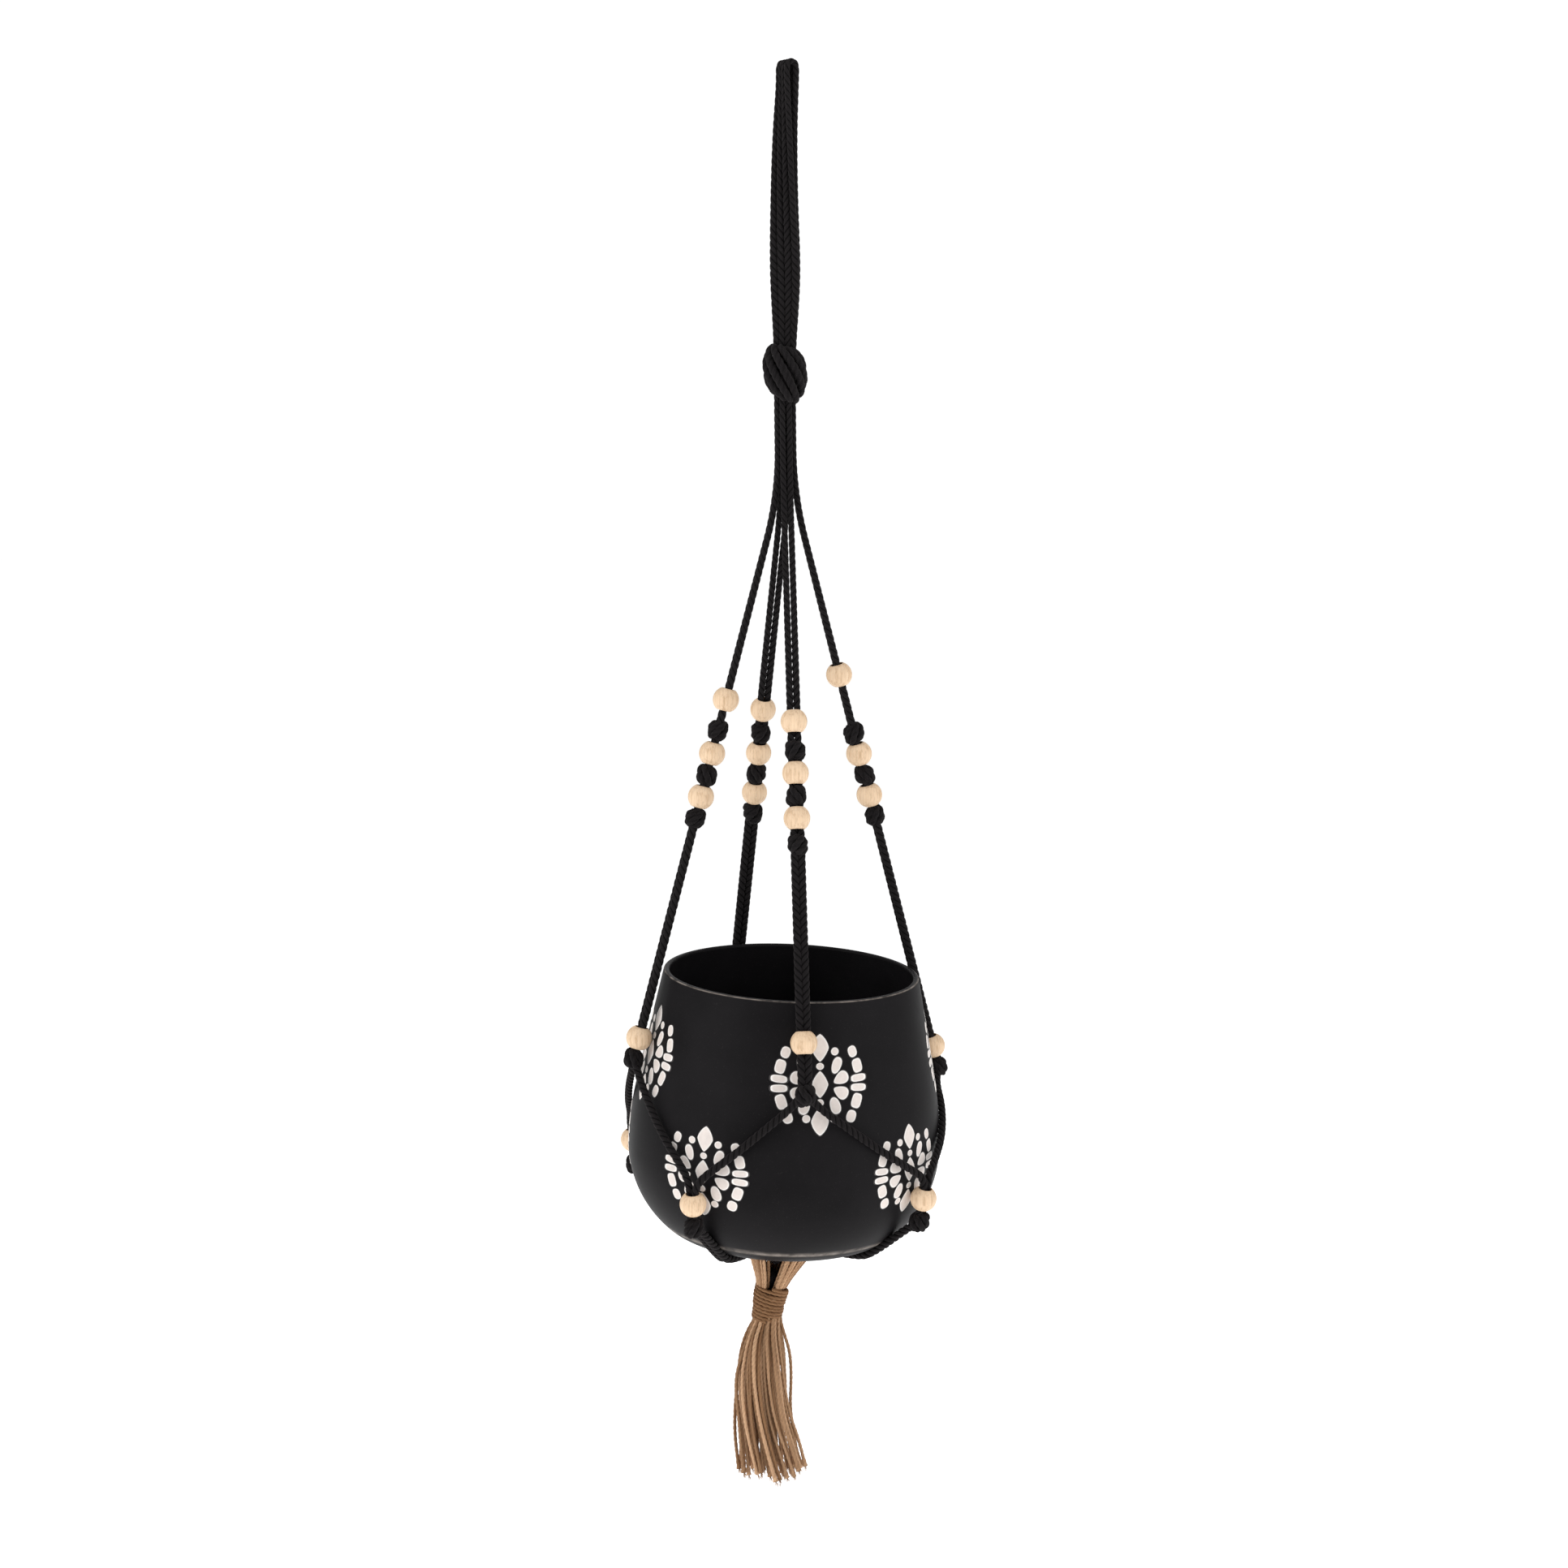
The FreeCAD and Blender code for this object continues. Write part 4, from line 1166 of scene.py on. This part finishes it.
class PLANTER_OT_tassel_head(bpy.types.Operator):
    """Gathers the flared yarns of the tassel's head over the cords"""
    bl_idname = "planter.gather_tassel_head"
    bl_label = "Tassel head"

    def execute(self, context):
        tassel = context.scene.planter_tassel
        chance = np.random.default_rng(101)
        low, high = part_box("tassel_head")
        top_centre = Vector(((low.x + high.x) / 2 + 0.0024, (low.y + high.y) / 2, high.z))
        top_radius = (high.x - low.x) / 2 - tassel.yarn * 0.4
        surface = Surface()
        ends = PIVOT + Vector((0.0012, 0, -0.0054))
        # the yarns part at the front, where the gathered cords show
        front_gap = 17.0
        outer = tassel.head_yarns * 2 // 3
        for number in range(tassel.head_yarns):
            inner = number >= outer
            count = tassel.head_yarns - outer if inner else outer
            place = (number - outer if inner else number) + 0.5
            azimuth = front_gap - 13 + (360 - 2 * front_gap) * place / count + chance.uniform(-3, 3)
            wide = (top_radius + 0.0022) * (0.74 if inner else 1.0) * chance.uniform(0.94, 1.0)
            narrow = 0.0054 if inner else 0.0083
            line = []
            for share, wideness in HEAD_SPREAD:
                centre = top_centre.lerp(ends, share)
                reach = narrow + (wide - narrow) * wideness
                line.append(centre + outward(azimuth + 7 * share) * reach)
            line[0] = line[0] + Vector((0, 0, 0.0012))
            smooth = smooth_line("head_yarn", line)
            lay_yarn(surface, smooth, chance, thin=chance.uniform(0.9, 1.1))
            if number % 3 == 0:
                side = outward(azimuth + 90 * chance.choice((-1, 1))) * 0.5 + outward(azimuth)
                add_fibres(surface, smooth[len(smooth) // 2], side + Vector((0, 0, -0.8)), chance, 1,
                           0.008, 0.3)
        surface.piece("tassel_head_yarns", "jute", "tassel_head")
        return {"FINISHED"}


class PLANTER_OT_base_knot(bpy.types.Operator):
    """Ties the small knot on which the tassel swings"""
    bl_idname = "planter.tie_base_knot"
    bl_label = "Base knot"

    def execute(self, context):
        low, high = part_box("base_knot")
        surface = Surface()
        tie_knot(surface, PIVOT, Vector((0, 0, 1)), high.x - low.x, high.z - low.z, bands=3, strands=2,
                 sweep=150, seed=77)
        surface.piece("base_knot_cords", "cotton", "base_knot")
        return {"FINISHED"}


# The winding at its top, middle and bottom: extra radius and sideways shift.
WRAP_SHARES = (0, 0.5, 1)
WRAP_SWELL = (0.0008, 0.0, -0.0006)
WRAP_SHIFT = (0.0015, -0.0007, -0.0021)


class PLANTER_OT_tassel_wrap(bpy.types.Operator):
    """Winds the yarn that binds the tassel's neck"""
    bl_idname = "planter.wind_tassel_neck"
    bl_label = "Tassel winding"

    def execute(self, context):
        tassel = context.scene.planter_tassel
        chance = np.random.default_rng(202)
        low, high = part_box("tassel_wrap")
        wide = (high.x - low.x) / 2
        start, end = high.z - 0.0028, low.z + tassel.yarn / 2
        steps_round = 40
        wobble = chance.normal(0, 1, tassel.turns * 5 + 2)
        line = []
        for step in range(tassel.turns * steps_round + 1):
            share = step / (tassel.turns * steps_round)
            turn = 2 * math.pi * step / steps_round
            loose = np.interp(share * (len(wobble) - 1), np.arange(len(wobble)), wobble)
            # the neck leans and narrows downwards, and its turns lie lower on the right
            radius = wide + np.interp(share, WRAP_SHARES, WRAP_SWELL)
            aside = np.interp(share, WRAP_SHARES, WRAP_SHIFT)
            slant = (0.0013 * share - 0.0027) * math.sin(turn)
            reach = radius + 0.00025 * loose - tassel.yarn / 2
            place = Vector((aside + math.sin(turn) * reach, -math.cos(turn) * reach, 0))
            place.z = start + (end - start) * share + slant + 0.00035 * loose
            line.append(Vector((PIVOT.x, PIVOT.y, 0)) + place)
        surface = Surface()
        lay_yarn(surface, line, chance, thin=1.12, tint=0.0)
        for _tuft in range(70):
            spot = line[int(chance.integers(20, len(line) - 20))]
            away = Vector((spot.x - PIVOT.x, spot.y - PIVOT.y, 0)).normalized()
            level = Vector((-away.y, away.x, 0)) * chance.choice((-1, 1))
            add_fibres(surface, spot + away * 0.0008, away * 0.5 + level, chance, 1, 0.005, 0.35)
        surface.piece("tassel_winding", "jute", "tassel_wrap")
        return {"FINISHED"}


# The skirt's outline below the winding: drop, radius and sideways shift of its
# middle at each.
SKIRT = [
    (-0.008, 0.0068, 0.0),
    (0.0, 0.0086, -0.0014),
    (0.005, 0.0104, -0.0028),
    (0.022, 0.0148, -0.0038),
    (0.034, 0.0157, -0.0042),
    (0.045, 0.0152, -0.0046),
    (0.062, 0.0158, -0.0033),
    (0.073, 0.0178, -0.0014),
    (0.085, 0.0196, 0.0006),
    (0.098, 0.0205, 0.0020),
]


# Turned by this many degrees from one to the next, the yarns fill a round evenly.
GOLDEN_ANGLE = 137.508


class PLANTER_OT_tassel_skirt(bpy.types.Operator):
    """Hangs the tassel's yarns with their frayed ends"""
    bl_idname = "planter.hang_tassel_skirt"
    bl_label = "Tassel skirt"

    def execute(self, context):
        tassel = context.scene.planter_tassel
        chance = np.random.default_rng(303)
        low, _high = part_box("tassel_skirt")
        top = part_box("tassel_wrap")[0].z
        surface = Surface()
        drops = [row[0] for row in SKIRT]
        for number in range(tassel.yarns):
            share = math.sqrt((number + 0.5) / tassel.yarns)
            azimuth = GOLDEN_ANGLE * number
            sway = chance.normal(0, 1.0, 4)
            longest = (top - low.z) * chance.uniform(0.905, 0.955)
            line = []
            for drop in (-0.006, 0.0, 0.008, 0.020, 0.036, 0.056, 0.076, longest):
                reach = np.interp(drop, drops, [row[1] for row in SKIRT]) * 1.09 - tassel.yarn * 0.5
                shift = np.interp(drop, drops, [row[2] for row in SKIRT])
                part = max(0.0, drop / longest)
                turn = azimuth + 34 * part ** 1.3 + 5 * sway[0] * part
                wave = 0.0011 * sway[1] * math.sin(math.pi * part)
                wave += 0.0010 * sway[2] * math.sin(2 * math.pi * part)
                wave += 0.0006 * sway[3] * math.sin(3.5 * math.pi * part)
                place = outward(turn) * (reach * share + wave) + Vector((shift, 0, 0))
                line.append(Vector((PIVOT.x, PIVOT.y, top - drop)) + place)
            smooth = smooth_line("skirt_yarn", line)
            lay_yarn(surface, smooth, chance, thin=chance.uniform(0.80, 1.16),
                     swell=lambda way, _line: 1.0 + 0.45 * np.clip((way - 0.93) / 0.07, 0, 1))
            heading = Vector(smooth[-1]) - Vector(smooth[-6])
            add_fibres(surface, smooth[-1], heading, chance, 16, 0.0036, 0.22)
            if share > 0.7:
                middle = smooth[int(chance.integers(len(smooth) // 4, len(smooth) - 8))]
                add_fibres(surface, middle, outward(azimuth) * 0.6 + Vector((0, 0, -0.9)), chance, 1,
                           0.009, 0.4)
        surface.piece("tassel_skirt_yarns", "jute", "tassel_skirt")
        return {"FINISHED"}


class PLANTER_OT_cord_ends(bpy.types.Operator):
    """Adds the eight cord ends held in the tassel's neck"""
    bl_idname = "planter.add_cord_ends"
    bl_label = "Cord ends"

    def execute(self, context):
        cords = context.scene.planter_cords
        low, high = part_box("cord_ends")
        ring = (cords.diameter + 0.0001) / (2 * math.sin(math.pi / 7))
        places = [Vector((0, 0, 0))] + [outward(number * 360 / 7) * ring for number in range(7)]
        surface = Surface()
        for number, place in enumerate(places):
            top = Vector((PIVOT.x, PIVOT.y, high.z - 0.0002)) + place
            bottom = Vector((PIVOT.x, PIVOT.y, low.z)) + place
            surface.add_rope([top, bottom], cords.diameter / 2, cords.plies, cords.twist, cords.groove,
                             18, 0.0008, tint=number / 8)
        surface.piece("cord_end_ropes", "cotton", "cord_ends")
        return {"FINISHED"}


# ---------------------------------------------------------------- stage
def soft_light(name, place, target, width, height, watts):
    """One large rectangular studio light."""
    lamp = bpy.data.lights.new(name, "AREA")
    lamp.shape = "RECTANGLE"
    lamp.size, lamp.size_y = width, height
    lamp.energy = watts
    holder = bpy.data.objects.new(name, lamp)
    holder.location = place
    holder.rotation_euler = (Vector(target) - Vector(place)).to_track_quat("-Z", "Y").to_euler()
    bpy.context.scene.collection.objects.link(holder)


# Soft lights: name, place seen from what they light, width, height and watts.
LIGHTS = [
    ("left_softbox", (-1.9, -1.1, 0.7), 1.8, 2.2, 25),
    ("right_softbox", (2.0, -0.9, 0.5), 1.8, 2.2, 20),
    ("top_softbox", (0.0, -0.9, 2.4), 2.4, 2.0, 26),
    ("back_softbox", (0.2, 2.6, 1.1), 2.6, 2.0, 18),
]
FLOOR_HALF = 14.0
# A little over white, so that the air behind the planter looks evenly white.
SEEN_AIR = 1.05


class PLANTER_OT_stage(bpy.types.Operator):
    """Sets the pale floor, the soft lights and the camera"""
    bl_idname = "planter.set_stage"
    bl_label = "Stage"

    def execute(self, context):
        scene = context.scene
        stage = scene.planter_stage
        low, high = CAD_BOX
        middle = (low + high) / 2
        level = low.z - stage.floor_gap
        half = FLOOR_HALF
        mesh = bpy.data.meshes.new("studio_floor")
        corners = [(-half, -half, level), (half, -half, level), (half, half, level), (-half, half, level)]
        mesh.from_pydata(corners, [], [(0, 1, 2, 3)])
        mesh.materials.append(finish("floor"))
        floor = bpy.data.objects.new("studio_floor", mesh)
        scene.collection.objects.link(floor)

        world = bpy.data.worlds.new("studio_air")
        world.use_nodes = True
        air = world.node_tree
        background = air.nodes["Background"]
        background.inputs["Color"].default_value = (1.0, 1.0, 1.0, 1.0)
        seen = air.nodes.new("ShaderNodeLightPath").outputs["Is Camera Ray"]
        level_of = air.nodes.new("ShaderNodeMapRange")
        air.links.new(seen, level_of.inputs["Value"])
        level_of.inputs["To Min"].default_value = stage.air_light
        level_of.inputs["To Max"].default_value = SEEN_AIR
        air.links.new(level_of.outputs["Result"], background.inputs["Strength"])
        scene.world = world
        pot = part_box("pot")
        aim = ((pot[0] + pot[1]) / 2 + middle) / 2
        for name, place, width, height, watts in LIGHTS:
            soft_light(name, aim + Vector(place), aim, width, height, watts)

        camera = bpy.data.cameras.new("studio_camera")
        camera.lens = stage.lens
        camera.sensor_width = 36.0
        camera.clip_end = 60.0
        holder = bpy.data.objects.new("studio_camera", camera)
        holder.location = stage.camera_place
        holder.rotation_euler = (math.pi / 2 - stage.camera_pitch, 0.0, 0.0)
        scene.collection.objects.link(holder)
        scene.camera = holder
        scene.view_settings.view_transform = "Standard"
        return {"FINISHED"}


OPERATORS = [
    PLANTER_OT_stage,
    PLANTER_OT_cords,
    PLANTER_OT_main_knot,
    PLANTER_OT_leg_knots,
    PLANTER_OT_low_knots,
    PLANTER_OT_beads,
    PLANTER_OT_pot,
    PLANTER_OT_inlay,
    PLANTER_OT_tassel_head,
    PLANTER_OT_base_knot,
    PLANTER_OT_tassel_wrap,
    PLANTER_OT_tassel_skirt,
    PLANTER_OT_cord_ends,
]


class PLANTER_PT_sidebar(bpy.types.Panel):
    """Lists the planter's parts in the sidebar"""
    bl_idname = "PLANTER_PT_sidebar"
    bl_label = "Hanging planter"
    bl_space_type = "VIEW_3D"
    bl_region_type = "UI"
    bl_category = "Planter"

    def draw(self, context):
        for operator in OPERATORS:
            self.layout.operator(operator.bl_idname)
        for name, group in SETTINGS.items():
            box = self.layout.box()
            for setting in group.__annotations__:
                box.prop(getattr(context.scene, name), setting)


def register():
    """Registers the settings, the operators and the panel."""
    for name, group in SETTINGS.items():
        bpy.utils.register_class(group)
        setattr(bpy.types.Scene, name, PointerProperty(type=group))
    for operator in OPERATORS:
        bpy.utils.register_class(operator)
    bpy.utils.register_class(PLANTER_PT_sidebar)


def unregister():
    """Removes everything that register added."""
    bpy.utils.unregister_class(PLANTER_PT_sidebar)
    for operator in reversed(OPERATORS):
        bpy.utils.unregister_class(operator)
    for name, group in SETTINGS.items():
        delattr(bpy.types.Scene, name)
        bpy.utils.unregister_class(group)


def main():
    """Builds the whole planter."""
    register()
    for operator in OPERATORS:
        family, action = operator.bl_idname.split(".")
        getattr(getattr(bpy.ops, family), action)()


if __name__ == "__main__":
    main()
